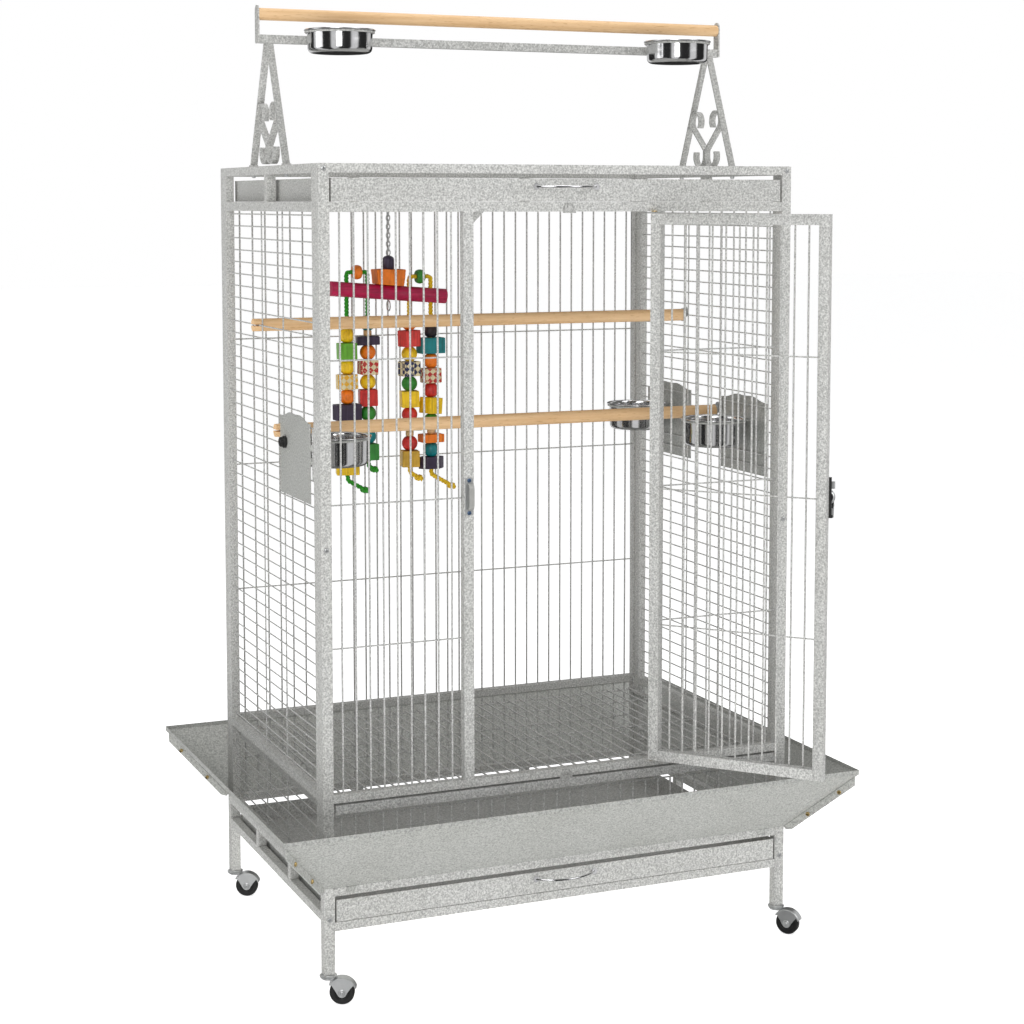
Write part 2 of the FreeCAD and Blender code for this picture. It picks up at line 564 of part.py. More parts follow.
def bowl_form(x, y, rim_z, depth, body, rim):
    """A pressed bowl with a rolled rim, turned about a vertical axis."""
    gauge = size("bowl_gauge")
    foot = body - 5
    base = rim_z - depth
    outline = [vec(0, 0, base), vec(foot, 0, base), vec(body, 0, base + 6), vec(body, 0, rim_z - 1.2),
               vec(rim, 0, rim_z - 1.2), vec(rim, 0, rim_z), vec(body - gauge, 0, rim_z),
               vec(body - gauge, 0, base + 6.2), vec(foot - gauge * 0.4, 0, base + gauge),
               vec(0, 0, base + gauge)]
    form = Part.Face(Part.makePolygon(outline + outline[:1])).revolve(vec(0, 0, 0), UP, 360)
    form.translate(vec(x, y, 0))
    return solid(form, "Bowl")


def feeder(tag, sign, end):
    """A swing-out feeder door with its ring, its knob and its bowl."""
    wall_x = HX - size("rail") / 2
    axis_y = size("feeder_axis_y")
    gauge = size("sheet_gauge")
    near, far = axis_y - 3, size("feeder_end_y")
    base, top, crest = size("feeder_base"), size("feeder_tall"), size("feeder_crest")
    x0 = wall_x + 3

    def at(x, y, z):
        return vec(sign * x, end * y, z)

    steps = 24
    wave = [at(x0, near + (far - near) * i / steps,
               top + (crest - top) * (0.5 - 0.5 * math.cos(2 * math.pi * i / steps)) *
               (1 - 0.25 * math.cos(4 * math.pi * i / steps)) / 1.25) for i in range(steps + 1)]
    plate = prism([at(x0, near, base), at(x0, far, base)] + wave[::-1], at(gauge, 0, 0))
    sleeves = []
    for low in (938, 961):
        barrel = Part.makeCylinder(3.4, 11, at(wall_x, axis_y, low))
        barrel = barrel.cut(Part.makeCylinder(2.1, 13, at(wall_x, axis_y, low - 1)))
        web_x = x0 + gauge / 2
        web = prism([at(wall_x + 2.3, axis_y - 1, low), at(wall_x + 2.3, axis_y - 4, low),
                     at(web_x, axis_y - 4, low), at(web_x, axis_y - 1, low)], vec(0, 0, 11))
        sleeves.append(barrel.fuse(web))
    cx, cy = wall_x - size("feeder_bowl_in"), size("feeder_bowl_y")
    ring_z = size("feeder_z")
    ring = Part.makeTorus(size("ring_radius"), size("ring_dia") / 2, at(cx, cy, ring_z))
    arms = []
    for dy in (-26, 26):
        inner_x = cx + math.sqrt(size("ring_radius") ** 2 - dy * dy)
        arms.append(Part.makeCylinder(size("ring_dia") / 2, x0 - inner_x + gauge / 2,
                                      at(inner_x, cy + dy, ring_z), at(1, 0, 0)))
    shaft_hole = Part.makeCylinder(4.05, 4, at(x0 - 1, size("knob_y"), size("knob_z")), at(1, 0, 0))
    leaf_shape = plate.fuse(sleeves + [ring] + arms).cut(shaft_hole)
    node("feeder_door_" + tag, [solid(leaf_shape, "Feeder")])
    ky, kz = size("knob_y"), size("knob_z")
    stem = Part.makeCylinder(4, 12, at(x0 - 6, ky, kz), at(1, 0, 0))
    knob = Part.makeCylinder(11, 12, at(x0 + gauge + 0.3, ky, kz), at(1, 0, 0))
    blade = prism([at(x0 - 6, ky + dy, kz + dz) for dy, dz in ((-4, 5), (4, 5), (4, -26), (-4, -26))],
                  at(-1.5, 0, 0))
    node("feeder_knob_" + tag, [solid(stem.fuse([knob, blade]).removeSplitter(), "Knob")])
    node("feeder_bowl_" + tag, [bowl_form(sign * cx, end * cy, ring_z + 5, size("bowl_depth"),
                                          size("bowl_body"), size("bowl_rim"))])


feeder("left", -1, -1)
feeder("right_front", 1, -1)
feeder("right_rear", 1, 1)

# Play stand on top: two A-frames with scrolls, a crossbar, a perch and two ringed bowls.
for side, sign in SIDES:
    mid_x = sign * (HX - size("rail") / 2)
    x0, x1 = mid_x - size("play_strip") / 2, mid_x + size("play_strip") / 2
    half = size("play_gauge") / 2
    floor, head = size("crown_top"), size("cross_base")
    curl_r, leave = 18.5, math.radians(38)
    shapes = []
    for end in (-1, 1):
        foot_y, head_y = end * size("play_leg_foot"), end * size("play_leg_head")
        shapes.append(ribbon([("line", (foot_y, floor), (head_y, head))], half, x0, x1))
        shapes.append(Part.makeBox(x1 - x0, 16, half * 2, vec(x0, foot_y - 8, floor)))
        top = (end * 41, 1549)
        low = (end * 22.2, 1480)
        curl = ("arc", top, curl_r, 220 if end > 0 else -40, -38 if end > 0 else 218)
        lean_end = (end * 2.1, 1492)
        out = (top[0] + end * curl_r * math.cos(leave), top[1] - curl_r * math.sin(leave))
        shapes.append(ribbon([curl], half, x0, x1))
        shapes.append(ribbon([("line", out, lean_end)], half, x0, x1))
        shapes.append(ribbon([("line", lean_end, (end * 2.1, 1480))], half, x0, x1))
        shapes.append(ribbon([("arc", low, 20.1, 180 if end > 0 else 0, 385 if end > 0 else -205)],
                             half, x0, x1))
    frame_shape = shapes[0].fuse(shapes[1:])
    node("play_frame_" + side, [solid(frame_shape, "Arch")])

cross = [tube("-cross_half", "-cross_size / 2", "cross_base", "2 * cross_half", "cross_size", "cross_size")]
for x in ("-cross_half - 3", "cross_half"):
    blank = box(x, "-bracket_half", "cross_base", "3", "2 * bracket_half",
                "bracket_top - bracket_half - cross_base")
    crest_disc = rod(x, "0", "bracket_top - bracket_half", "3", "2 * bracket_half", "X")
    cross.append(fuse([blank, crest_disc]))
node("play_crossbar", cross)
node("play_perch", [rod("-cross_half", "0", "play_perch_z", "2 * cross_half", "play_perch_dia", "X")])

rings = []
for sign in (-1, 1):
    cx, cy, cz = sign * size("play_bowl_x"), -size("play_bowl_y"), size("play_ring_z")
    ring = Part.makeTorus(size("ring_radius"), size("ring_dia") / 2, vec(cx, cy, cz))
    face_y = -size("cross_size") / 2
    arms = []
    for dx in (-20, 20):
        inner_y = cy + math.sqrt(size("ring_radius") ** 2 - dx * dx)
        arms.append(Part.makeCylinder(2, face_y - 1 - inner_y, vec(cx + dx, inner_y, cz), vec(0, 1, 0)))
    clip = Part.makeBox(54, 1.5, 22, vec(cx - 27, face_y - 1.5, cz - 18))
    hook = Part.makeBox(54, size("cross_size") + 3, 1.5, vec(cx - 27, face_y - 1.5, 1690))
    back = Part.makeBox(54, 1.5, 8, vec(cx - 27, -face_y, 1683.5))
    rings.append(solid(ring.fuse(arms + [clip, hook, back]).removeSplitter(), "Ring"))
node("play_rings", rings)
for side, sign in SIDES:
    node("play_bowl_" + side, [bowl_form(sign * size("play_bowl_x"), -size("play_bowl_y"),
                                         size("play_ring_z") + 5, size("play_bowl_depth"), size("bowl_body"),
                                         size("bowl_rim"))])

# Perches inside: dowels slotted on the left, screwed through a washer on the right.
fixings = []
for label, y, z in (("perch_upper", "perch_high_y", "perch_high_z"),
                    ("perch_lower", "-perch_low_y", "perch_low_z")):
    dowel = rod("-perch_left", y, z, "perch_left + perch_right", "perch_dia", "X")
    slot = box("-perch_left - 1", y + " - perch_dia", z + " - side_wire_dia / 2 - 0.3", "perch_slot + 1",
               "2 * perch_dia", "side_wire_dia + 0.6")
    node(label, [cut(dowel, slot)])
    yv = size("perch_high_y") if label == "perch_upper" else -size("perch_low_y")
    zv = size(z) + 6
    washer = Part.makeCylinder(13, 1.5, vec(size("perch_right"), yv, size(z)), vec(1, 0, 0))
    shank = Part.makeCylinder(3, 10, vec(size("perch_right"), yv, zv), vec(1, 0, 0))
    outer_washer = Part.makeCylinder(11, 1.5, vec(HX - 6.6, yv, zv), vec(1, 0, 0))
    nut = Part.makeCylinder(5.5, 4, vec(HX - 5.1, yv, zv), vec(1, 0, 0))
    fixings.append(solid(washer.fuse([shank, outer_washer, nut]), "Fixing"))
node("perch_fixings", fixings)

# Casters: a fixed plate and stem under each leg, a swivelling fork and its wheel.
plates = []
LEGS = {"front_left": (-1, -1, -23), "front_right": (1, -1, -50), "rear_left": (-1, 1, -25),
        "rear_right": (1, 1, -35)}
for tag, (sx, sy, aim_angle) in LEGS.items():
    lx, ly = sx * (HX - POST / 2), sy * (HY - POST / 2)
    foot, gauge = size("leg_foot"), size("caster_plate")
    radius, trail = size("wheel_dia") / 2, size("caster_trail")
    disc = Part.makeCylinder(size("caster_disc"), gauge, vec(lx, ly, foot - gauge))
    plates.append(solid(disc, "Plate"))
    turn = FreeCAD.Placement(vec(lx, ly, 0), FreeCAD.Rotation(UP, aim_angle))
    wide = size("wheel_wide")
    top = foot - gauge - 0.3
    crown = Part.makeCylinder(size("caster_disc") - 1, 2.5, vec(0, 0, top - 2.5))
    sides = []
    for y0 in (-wide / 2 - 0.6 - 1.8, wide / 2 + 0.6):
        cheek = prism([vec(-11, y0, top), vec(13, y0, top), vec(trail + 25, y0, radius + 14),
                       vec(trail + 21, y0, radius + 9), vec(trail + 7, y0, radius - 7),
                       vec(trail - 7, y0, radius - 7)], vec(0, 1.8, 0))
        sides.append(cheek)
    hood_out = Part.makeCylinder(radius + 3.6, wide + 4.8, vec(trail, -wide / 2 - 2.4, radius), vec(0, 1, 0))
    hood_in = Part.makeCylinder(radius + 1.8, wide + 6, vec(trail, -wide / 2 - 3, radius), vec(0, 1, 0))
    wedge_cut = Part.makeBox(60, 40, 60, vec(trail - 16, -20, radius + 10))
    hood = hood_out.cut(hood_in).common(wedge_cut)
    hood = hood.common(Part.makeBox(100, 40, top - radius, vec(-20, -20, radius)))
    room = Part.makeCylinder(radius + 1.2, wide + 1, vec(trail, -wide / 2 - 0.5, radius), vec(0, 1, 0))
    axle = Part.makeCylinder(size("axle_dia") / 2, wide + 9, vec(trail, -wide / 2 - 4.5, radius),
                             vec(0, 1, 0))
    clip_low = Part.makeBox(200, 60, top - 1, vec(-60, -30, 1))
    fork = crown.fuse(sides + [hood]).cut(room).common(clip_low).fuse(axle)
    fork.Placement = turn
    node("caster_fork_" + tag, [solid(fork, "Fork")])
    tyre = Part.makeCylinder(radius, wide, vec(trail, -wide / 2, radius), vec(0, 1, 0))
    tyre = tyre.makeFillet(2, [e for e in tyre.Edges if abs(e.Length - 2 * math.pi * radius) < 0.1])
    hole = Part.makeCylinder(size("axle_dia") / 2 + 0.05, wide + 2, vec(trail, -wide / 2 - 1, radius),
                             vec(0, 1, 0))
    wheel = tyre.cut(hole)
    wheel.Placement = turn
    node("caster_wheel_" + tag, [solid(wheel, "Wheel")])
node("caster_plates", plates)

# Hanging toy: chain, cap and block, a bar, and four strings of beads and blocks.
tx, ty = -size("toy_x"), size("toy_y")
bar_z, bar_r = size("toy_bar_z"), size("toy_bar_dia") / 2
rope_r = size("rope_dia") / 2
link_r, link_wire = 5.4, 1.1
link_pitch = 2 * (link_r - link_wire) - 0.2
hook_z = size("roof_level") + size("bar_dia") / 2 + 0.3 - (link_r - link_wire)
LINKS = 10
links = []
for k in range(LINKS):
    flat = vec(1, 0, 0) if k % 2 else vec(0, 1, 0)
    links.append(solid(Part.makeTorus(link_r, link_wire, vec(tx, ty, hook_z - k * link_pitch), flat), "Link"))
links.append(solid(Part.makeTorus(10, 1.2, vec(tx, ty, bar_z - bar_r - 11.4), vec(1, 0, 0)), "Hoop"))
node("toy_chain", links)
eye_z = hook_z - LINKS * link_pitch
cap_tall = 27
cap_low = eye_z - link_r - cap_tall
cap = Part.makeCylinder(11.5, cap_tall, vec(tx, ty, cap_low))
cap = cap.fuse(Part.makeTorus(link_r, link_wire, vec(tx, ty, eye_z), vec(0, 1, 0)))
tilt = math.radians(size("toy_bar_tilt"))


def bar_mid(dx):
    """The height of the tilted bar's centre line, dx to the right of the chain."""
    return bar_z - dx * math.tan(tilt)


half_rise = bar_r / math.cos(tilt)
bar_aim = vec(math.cos(tilt), 0, -math.sin(tilt))
block_foot = [vec(tx + dx, ty - 20, bar_mid(dx) + half_rise) for dx in (26, -27)]
block = prism([vec(tx - 30, ty - 20, cap_low), vec(tx + 30, ty - 20, cap_low)] + block_foot, vec(0, 40, 0))
saddle = Part.makeCylinder(bar_r, 100, vec(tx, ty, bar_z) - bar_aim * 50, bar_aim)
node("toy_head", [solid(cap, "Cap"), solid(block.cut(saddle), "TopBlock")])
STRANDS = (-86, -43.4, 42.7, 87.7)
bar_long = size("toy_bar_length")
bar = Part.makeCylinder(bar_r, bar_long, vec(tx, ty, bar_z) - bar_aim * (bar_long / 2), bar_aim)
for dx in STRANDS:
    bar = bar.cut(Part.makeCylinder(rope_r + 0.3, 80, vec(tx + dx, ty, bar_z - 40)))
node("toy_bar", [solid(bar, "Dowel")])

# What hangs on each string, from the top: half width and half height of each form, then the order.
BEAD, BLOCK, CUBE, WIDE, FLAT, HEX, GAP = "bead", "block", "cube", "wide", "flat", "hex", "gap"
FORMS = {BEAD: (15.5, 13.6), BLOCK: (18, 16.5), CUBE: (18, 15), WIDE: (26, 16), FLAT: (23, 8.5),
         HEX: (27, 12), GAP: (8, 5.5)}
TOPS = (1146, 1169, 1167.5, 1152)
PATTERN = (
    (BEAD, BLOCK, BEAD, CUBE, BEAD, WIDE, BEAD, BLOCK, BEAD, FLAT),
    (BEAD, GAP, FLAT, BEAD, CUBE, BEAD, BLOCK, BEAD, FLAT, BEAD, BLOCK),
    (BEAD, BLOCK, BEAD, CUBE, BEAD, BLOCK, BEAD, FLAT, GAP, BEAD, BLOCK),
    (BEAD, WIDE, BEAD, CUBE, BEAD, BLOCK, BEAD, GAP, FLAT, BEAD, HEX),
)
TAILS = (58, 32, 40, 68)
SPACE = 0.5
beads, ends = [], []
for dx, top, row in zip(STRANDS, TOPS, PATTERN):
    z = top
    hole = Part.makeCylinder(rope_r + 0.3, 700, vec(tx + dx, ty, bar_z - 600))
    for kind in row:
        wide, tall = FORMS[kind]
        z -= tall
        if kind == BEAD:
            form = Part.makeSphere(wide, vec(tx + dx, ty, z))
            form = form.common(Part.makeCylinder(wide, 2 * tall, vec(tx + dx, ty, z - tall)))
        elif kind == GAP:
            form = Part.makeCylinder(wide, 2 * tall, vec(tx + dx, ty, z - tall))
        else:
            form = Part.makeBox(2 * wide, 32, 2 * tall, vec(tx + dx - wide, ty - 16, z - tall))
        beads.append(solid(form.cut(hole), "Bead"))
        z -= tall + SPACE
    ends.append(z)

# Each rope runs down through one string, up through the bar, over through a bead, and down the next string.
bend, crown_r, crown_half = 14, 14, 8
crown_face = math.sqrt(crown_r ** 2 - crown_half ** 2)
TAIL_DROP, TAIL_RADIUS, TAIL_TURN = 3, 14, math.radians(60)


def tail(x, z, length):
    """The loose end below a string: straight down, a bend, and a straight slanting end; listed upwards."""
    centre = vec(x + TAIL_RADIUS, ty, z - TAIL_DROP)

    def on_bend(angle):
        return centre + vec(-TAIL_RADIUS * math.cos(angle), 0, -TAIL_RADIUS * math.sin(angle))

    low = on_bend(TAIL_TURN)
    rest = length - TAIL_DROP - TAIL_RADIUS * TAIL_TURN
    tip = low + vec(math.sin(TAIL_TURN), 0, -math.cos(TAIL_TURN)) * rest
    return [Part.makeLine(tip, low), Part.Arc(low, on_bend(TAIL_TURN / 2), on_bend(0)).toShape()], tip


loops = []
for first in (0, 2):
    left, right = tx + STRANDS[first], tx + STRANDS[first + 1]
    turn_z = bar_mid(STRANDS[first]) + half_rise + 5
    top_z = turn_z + bend
    slant = bend * (1 - math.sqrt(0.5))
    left_tail, tip = tail(left, ends[first], TAILS[first])
    right_tail, _ = tail(right, ends[first + 1], TAILS[first + 1])
    path = Part.Wire(left_tail + [
        Part.makeLine(left_tail[-1].valueAt(left_tail[-1].LastParameter), vec(left, ty, turn_z)),
        Part.Arc(vec(left, ty, turn_z), vec(left + slant, ty, top_z - slant),
                 vec(left + bend, ty, top_z)).toShape(),
        Part.makeLine(vec(left + bend, ty, top_z), vec(right - bend, ty, top_z)),
        Part.Arc(vec(right - bend, ty, top_z), vec(right - slant, ty, top_z - slant),
                 vec(right, ty, turn_z)).toShape(),
        Part.makeLine(vec(right, ty, turn_z), right_tail[-1].valueAt(right_tail[-1].LastParameter))]
        + right_tail[::-1])
    aim = left_tail[0].tangentAt(left_tail[0].FirstParameter)
    ring = Part.Wire(Part.Circle(tip, aim, rope_r).toShape())
    rope = path.makePipeShell([ring], True, False)
    print("rope: %.0f mm long" % path.Length)
    loops.append(solid(rope, "Rope"))
    mid = (left + right) / 2
    bore_z, face_z = top_z + rope_r + 0.3, top_z + crown_face
    profile = Part.Wire([
        Part.makeLine(vec(mid + crown_half, ty, bore_z), vec(mid - crown_half, ty, bore_z)),
        Part.makeLine(vec(mid - crown_half, ty, bore_z), vec(mid - crown_half, ty, face_z)),
        Part.Arc(vec(mid - crown_half, ty, face_z), vec(mid, ty, top_z + crown_r),
                 vec(mid + crown_half, ty, face_z)).toShape(),
        Part.makeLine(vec(mid + crown_half, ty, face_z), vec(mid + crown_half, ty, bore_z))])
    crown = Part.Face(profile).revolve(vec(mid, ty, top_z), vec(1, 0, 0), 360)
    beads.append(solid(crown, "Bead"))
node("toy_ropes", loops)
node("toy_beads", beads)

doc.recompute()
whole = FreeCAD.BoundBox()
for item in nodes:
    whole.add(item.Shape.BoundBox)
sheet.set(sheet.getCellFromAlias("frame_shift"), "%.3f" % (-whole.Center.y))
doc.recompute()

faults = []
for item in doc.Objects:
    if "Invalid" in item.State or "Error" in item.State:
        faults.append("%s (%s) is %s" % (item.Name, item.Label, item.State))
for item in nodes:
    if item.Shape.isNull() or not item.Shape.isValid() or not item.Shape.Solids:
        faults.append("%s has no valid solid" % item.Label)
if faults:
    raise RuntimeError("; ".join(faults[:12]))

os.makedirs("parts", exist_ok=True)
for item in nodes:
    item.Shape.exportStep(os.path.join("parts", item.Label + ".step"))
print("wrote %d sub-parts, moved %.3f along Y" % (len(nodes), size("frame_shift")))
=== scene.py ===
import math
import random

import bmesh
import bpy
from mathutils import Matrix, Vector


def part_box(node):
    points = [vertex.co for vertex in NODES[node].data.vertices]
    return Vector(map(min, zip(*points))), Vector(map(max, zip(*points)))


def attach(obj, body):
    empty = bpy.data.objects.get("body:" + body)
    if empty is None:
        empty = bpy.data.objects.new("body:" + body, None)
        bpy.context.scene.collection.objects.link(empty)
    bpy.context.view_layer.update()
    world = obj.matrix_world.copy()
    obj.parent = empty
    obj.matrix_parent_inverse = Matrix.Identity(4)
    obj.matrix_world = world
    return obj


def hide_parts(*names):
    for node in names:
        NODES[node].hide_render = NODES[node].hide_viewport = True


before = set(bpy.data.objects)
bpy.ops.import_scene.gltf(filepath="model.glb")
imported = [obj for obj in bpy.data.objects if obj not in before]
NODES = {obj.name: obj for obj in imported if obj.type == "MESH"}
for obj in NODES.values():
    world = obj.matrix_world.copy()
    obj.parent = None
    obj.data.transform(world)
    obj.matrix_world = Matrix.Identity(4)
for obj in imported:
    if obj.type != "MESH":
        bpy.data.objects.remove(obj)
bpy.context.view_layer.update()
CHANCE = random.Random(7)

MM = 0.001
STAND_LOW, STAND_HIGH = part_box("stand_frame")
MID_Y = (STAND_LOW[1] + STAND_HIGH[1]) / 2
FRONT_Y = -313.0                                # front face of the frame, in mm from the centre line
POST_X, POST_Y = 447.5, 303.5                   # centre of each corner post
FEEDERS = (("left", -1, -1), ("right_front", 1, -1), ("right_rear", 1, 1))


def at(x, y, z):
    """A point given in millimetres from the cage's centre line, with the floor at z 0."""
    return Vector((x * MM, y * MM + MID_Y, z * MM))


# ---------------------------------------------------------------- camera and studio

CAMERA_PLACE = (-1.5018, -3.5166, 1.3898)
CAMERA_TILT, CAMERA_TURN = 85.046, -23.229
LENS = 71.755
SHIFT = (-0.0069, -0.13)
AIM = Vector((0.0, 0.0, 0.85))                  # where the lamps point
SKY_FILL = 0.30
CARD_COUNT = 5.0                                # dark and pale cards that polished metal reflects
CARD_STOPS = ((0.56, 0.03), (0.80, 0.9))
CARD_STRENGTH = 0.8
FLOOR_GLOW = 0.72
LAMPS = (
    ("key", (-3.0, -3.9, 3.9), 2.6, 2.6, 50.0),
    ("front", (-1.9, -4.3, 2.0), 1.4, 1.4, 26.0),
    ("side", (-4.2, 0.4, 1.9), 2.0, 2.4, 20.0),
    ("fill", (2.6, -3.2, 3.0), 2.0, 2.4, 26.0),
    ("top", (0.3, 0.4, 4.0), 2.6, 2.6, 52.0),
)


def make_camera():
    data = bpy.data.cameras.new("photo_camera")
    data.lens = LENS
    data.sensor_width = 36.0
    data.shift_x, data.shift_y = SHIFT
    data.clip_start, data.clip_end = 0.05, 100.0
    camera = bpy.data.objects.new("photo_camera", data)
    camera.location = CAMERA_PLACE
    camera.rotation_euler = (math.radians(CAMERA_TILT), 0.0, math.radians(CAMERA_TURN))
    bpy.context.scene.collection.objects.link(camera)
    bpy.context.scene.camera = camera


def soft_box(name, place, width, height, power):
    data = bpy.data.lights.new(name, "AREA")
    data.shape = "RECTANGLE"
    data.size, data.size_y = width, height
    data.energy = power
    lamp = bpy.data.objects.new(name, data)
    lamp.location = place
    lamp.rotation_euler = (AIM - lamp.location).to_track_quat("-Z", "Y").to_euler()
    bpy.context.scene.collection.objects.link(lamp)


def make_world():
    """A white surround for the eye, a dim one as fill, and upright cards for what the metal reflects."""
    scene = bpy.context.scene
    scene.view_settings.view_transform = "Standard"
    world = bpy.data.worlds.new("studio")
    scene.world = world
    world.use_nodes = True
    nodes, links = world.node_tree.nodes, world.node_tree.links
    nodes.clear()
    out = nodes.new("ShaderNodeOutputWorld")
    rays = nodes.new("ShaderNodeLightPath")
    seen, fill, cards = (nodes.new("ShaderNodeBackground") for _ in range(3))
    seen.inputs["Color"].default_value = (1.0, 1.0, 1.0, 1.0)
    seen.inputs["Strength"].default_value = 1.0
    fill.inputs["Color"].default_value = (0.98, 0.99, 1.0, 1.0)
    fill.inputs["Strength"].default_value = SKY_FILL
    cards.inputs["Strength"].default_value = CARD_STRENGTH

    def sums(operation, *constants):
        item = nodes.new("ShaderNodeMath")
        item.operation = operation
        for place, constant in enumerate(constants, 1):
            item.inputs[place].default_value = constant
        return item

    coords, split = nodes.new("ShaderNodeTexCoord"), nodes.new("ShaderNodeSeparateXYZ")
    turn, times, waves = sums("ARCTAN2"), sums("MULTIPLY", CARD_COUNT), sums("SINE")
    shift = sums("MULTIPLY_ADD", 0.5, 0.5)
    ramp = nodes.new("ShaderNodeValToRGB")
    for element, (place, grey) in zip(ramp.color_ramp.elements, CARD_STOPS):
        element.position = place
        element.color = (grey, grey, grey, 1.0)
    links.new(coords.outputs["Generated"], split.inputs[0])
    links.new(split.outputs["Y"], turn.inputs[0])
    links.new(split.outputs["X"], turn.inputs[1])
    for first, second in ((turn, times), (times, waves), (waves, shift), (shift, ramp), (ramp, cards)):
        links.new(first.outputs[0], second.inputs[0])
    glossy, eye = nodes.new("ShaderNodeMixShader"), nodes.new("ShaderNodeMixShader")
    links.new(rays.outputs["Is Glossy Ray"], glossy.inputs[0])
    links.new(fill.outputs[0], glossy.inputs[1])
    links.new(cards.outputs[0], glossy.inputs[2])
    links.new(rays.outputs["Is Camera Ray"], eye.inputs[0])
    links.new(glossy.outputs[0], eye.inputs[1])
    links.new(seen.outputs[0], eye.inputs[2])
    links.new(eye.outputs[0], out.inputs["Surface"])


def make_studio():
    """Lamps, surround and a pale glowing floor that polished metal does not reflect."""
    make_world()
    for lamp in LAMPS:
        soft_box(*lamp)
    bpy.ops.mesh.primitive_plane_add(size=60.0)
    floor = bpy.context.object
    floor.name = "studio_floor"
    paint = Finish("studio_floor", 0.75)
    paint.colour(paint.ramp(paint.noise(3.0, 2.0), ((0.0, (0.93, 0.93, 0.93)), (1.0, (0.97, 0.97, 0.97)))))
    paint.shader.inputs["Emission Color"].default_value = (1.0, 1.0, 1.0, 1.0)
    paint.shader.inputs["Emission Strength"].default_value = FLOOR_GLOW
    floor.data.materials.append(paint.material)
    floor.visible_glossy = False


# ---------------------------------------------------------------- materials

class Finish:
    """Builds one procedural material; every pattern is in object space, in metres."""

    def __init__(self, name, roughness, metallic=0.0, coat=0.0, specular=0.5):
        self.material = bpy.data.materials.new(name)
        self.material.use_nodes = True
        self.nodes, self.links = self.material.node_tree.nodes, self.material.node_tree.links
        self.shader = self.nodes["Principled BSDF"]
        self.shader.inputs["Roughness"].default_value = roughness
        self.shader.inputs["Metallic"].default_value = metallic
        self.shader.inputs["Coat Weight"].default_value = coat
        self.shader.inputs["Specular IOR Level"].default_value = specular
        self.space = self.nodes.new("ShaderNodeTexCoord").outputs["Object"]

    def stretched(self, scale, turn=(0.0, 0.0, 0.0)):
        mapping = self.nodes.new("ShaderNodeMapping")
        mapping.inputs["Scale"].default_value = scale
        mapping.inputs["Rotation"].default_value = turn
        self.links.new(self.space, mapping.inputs["Vector"])
        return mapping.outputs["Vector"]

    def noise(self, scale, detail=2.0, space=None, rough=0.5):
        item = self.nodes.new("ShaderNodeTexNoise")
        item.inputs["Scale"].default_value = scale
        item.inputs["Detail"].default_value = detail
        item.inputs["Roughness"].default_value = rough
        self.links.new(space or self.space, item.inputs["Vector"])
        return item.outputs["Fac"]

    def ramp(self, value, stops):
        item = self.nodes.new("ShaderNodeValToRGB")
        elements = item.color_ramp.elements
        while len(elements) < len(stops):
            elements.new(0.5)
        for element, (place, colour) in zip(elements, stops):
            element.position = place
            element.color = (*colour, 1.0)
        self.links.new(value, item.inputs["Fac"])
        return item.outputs["Color"]

    def mix(self, share, first, second, blend="MIX"):
        item = self.nodes.new("ShaderNodeMix")
        item.data_type = "RGBA"
        item.blend_type = blend
        sockets = {s.identifier: s for s in item.inputs}
        self._feed(sockets["Factor_Float"], share)
        self._feed(sockets["A_Color"], first)
        self._feed(sockets["B_Color"], second)
        return {s.identifier: s for s in item.outputs}["Result_Color"]

    def _feed(self, socket, value):
        if isinstance(value, bpy.types.NodeSocket):
            self.links.new(value, socket)
        elif isinstance(value, tuple):
            socket.default_value = (*value, 1.0)
        else:
            socket.default_value = value

    def colour(self, value):
        self.links.new(value, self.shader.inputs["Base Color"])

    def roughness(self, value, low, high):
        item = self.nodes.new("ShaderNodeMapRange")
        item.inputs["To Min"].default_value = low
        item.inputs["To Max"].default_value = high
        self.links.new(value, item.inputs["Value"])
        self.links.new(item.outputs["Result"], self.shader.inputs["Roughness"])

    def bump(self, height, strength, depth_mm):
        item = self.nodes.new("ShaderNodeBump")
        item.inputs["Strength"].default_value = strength
        item.inputs["Distance"].default_value = depth_mm * MM
        self.links.new(height, item.inputs["Height"])
        self.links.new(item.outputs["Normal"], self.shader.inputs["Normal"])

    def edges(self, low, high):
        """A mask for a painted highlight on outside edges, from the mesh's own curvature."""
        geometry = self.nodes.new("ShaderNodeNewGeometry")
        return self.ramp(geometry.outputs["Pointiness"], ((low, (0.0, 0.0, 0.0)), (high, (1.0, 1.0, 1.0))))


def shade(colour, factor):
    return tuple(min(1.0, c * factor) for c in colour)


def powder_coat(name, base, dark=0.62, light=1.30):
    """Hammered silver-grey powder: pale ground, fine dark and light specks, slight orange peel."""
    paint = Finish(name, 0.5, coat=0.08)
    specks = paint.noise(320.0, 2.0, rough=0.7)
    ground = paint.ramp(specks, ((0.36, shade(base, dark)), (0.45, shade(base, 0.87)),
                                 (0.54, shade(base, 1.03)), (0.64, shade(base, light))))
    drift = paint.ramp(paint.noise(7.0, 3.0), ((0.3, (0.94, 0.94, 0.93)), (0.7, (1.0, 1.0, 1.0))))
    tinted = paint.mix(1.0, ground, drift, "MULTIPLY")
    # painted highlight: the speckled paint is made 22 percent lighter on convex edges, from the mesh's
    # curvature
    edge_highlight = paint.mix(1.0, tinted, (1.22, 1.22, 1.22), "MULTIPLY")
    wear_and_highlight = paint.mix(paint.edges(0.51, 0.58), tinted, edge_highlight)
    paint.colour(wear_and_highlight)
    paint.roughness(specks, 0.42, 0.62)
    paint.bump(paint.noise(900.0, 2.0), 0.25, 0.12)
    return paint.material


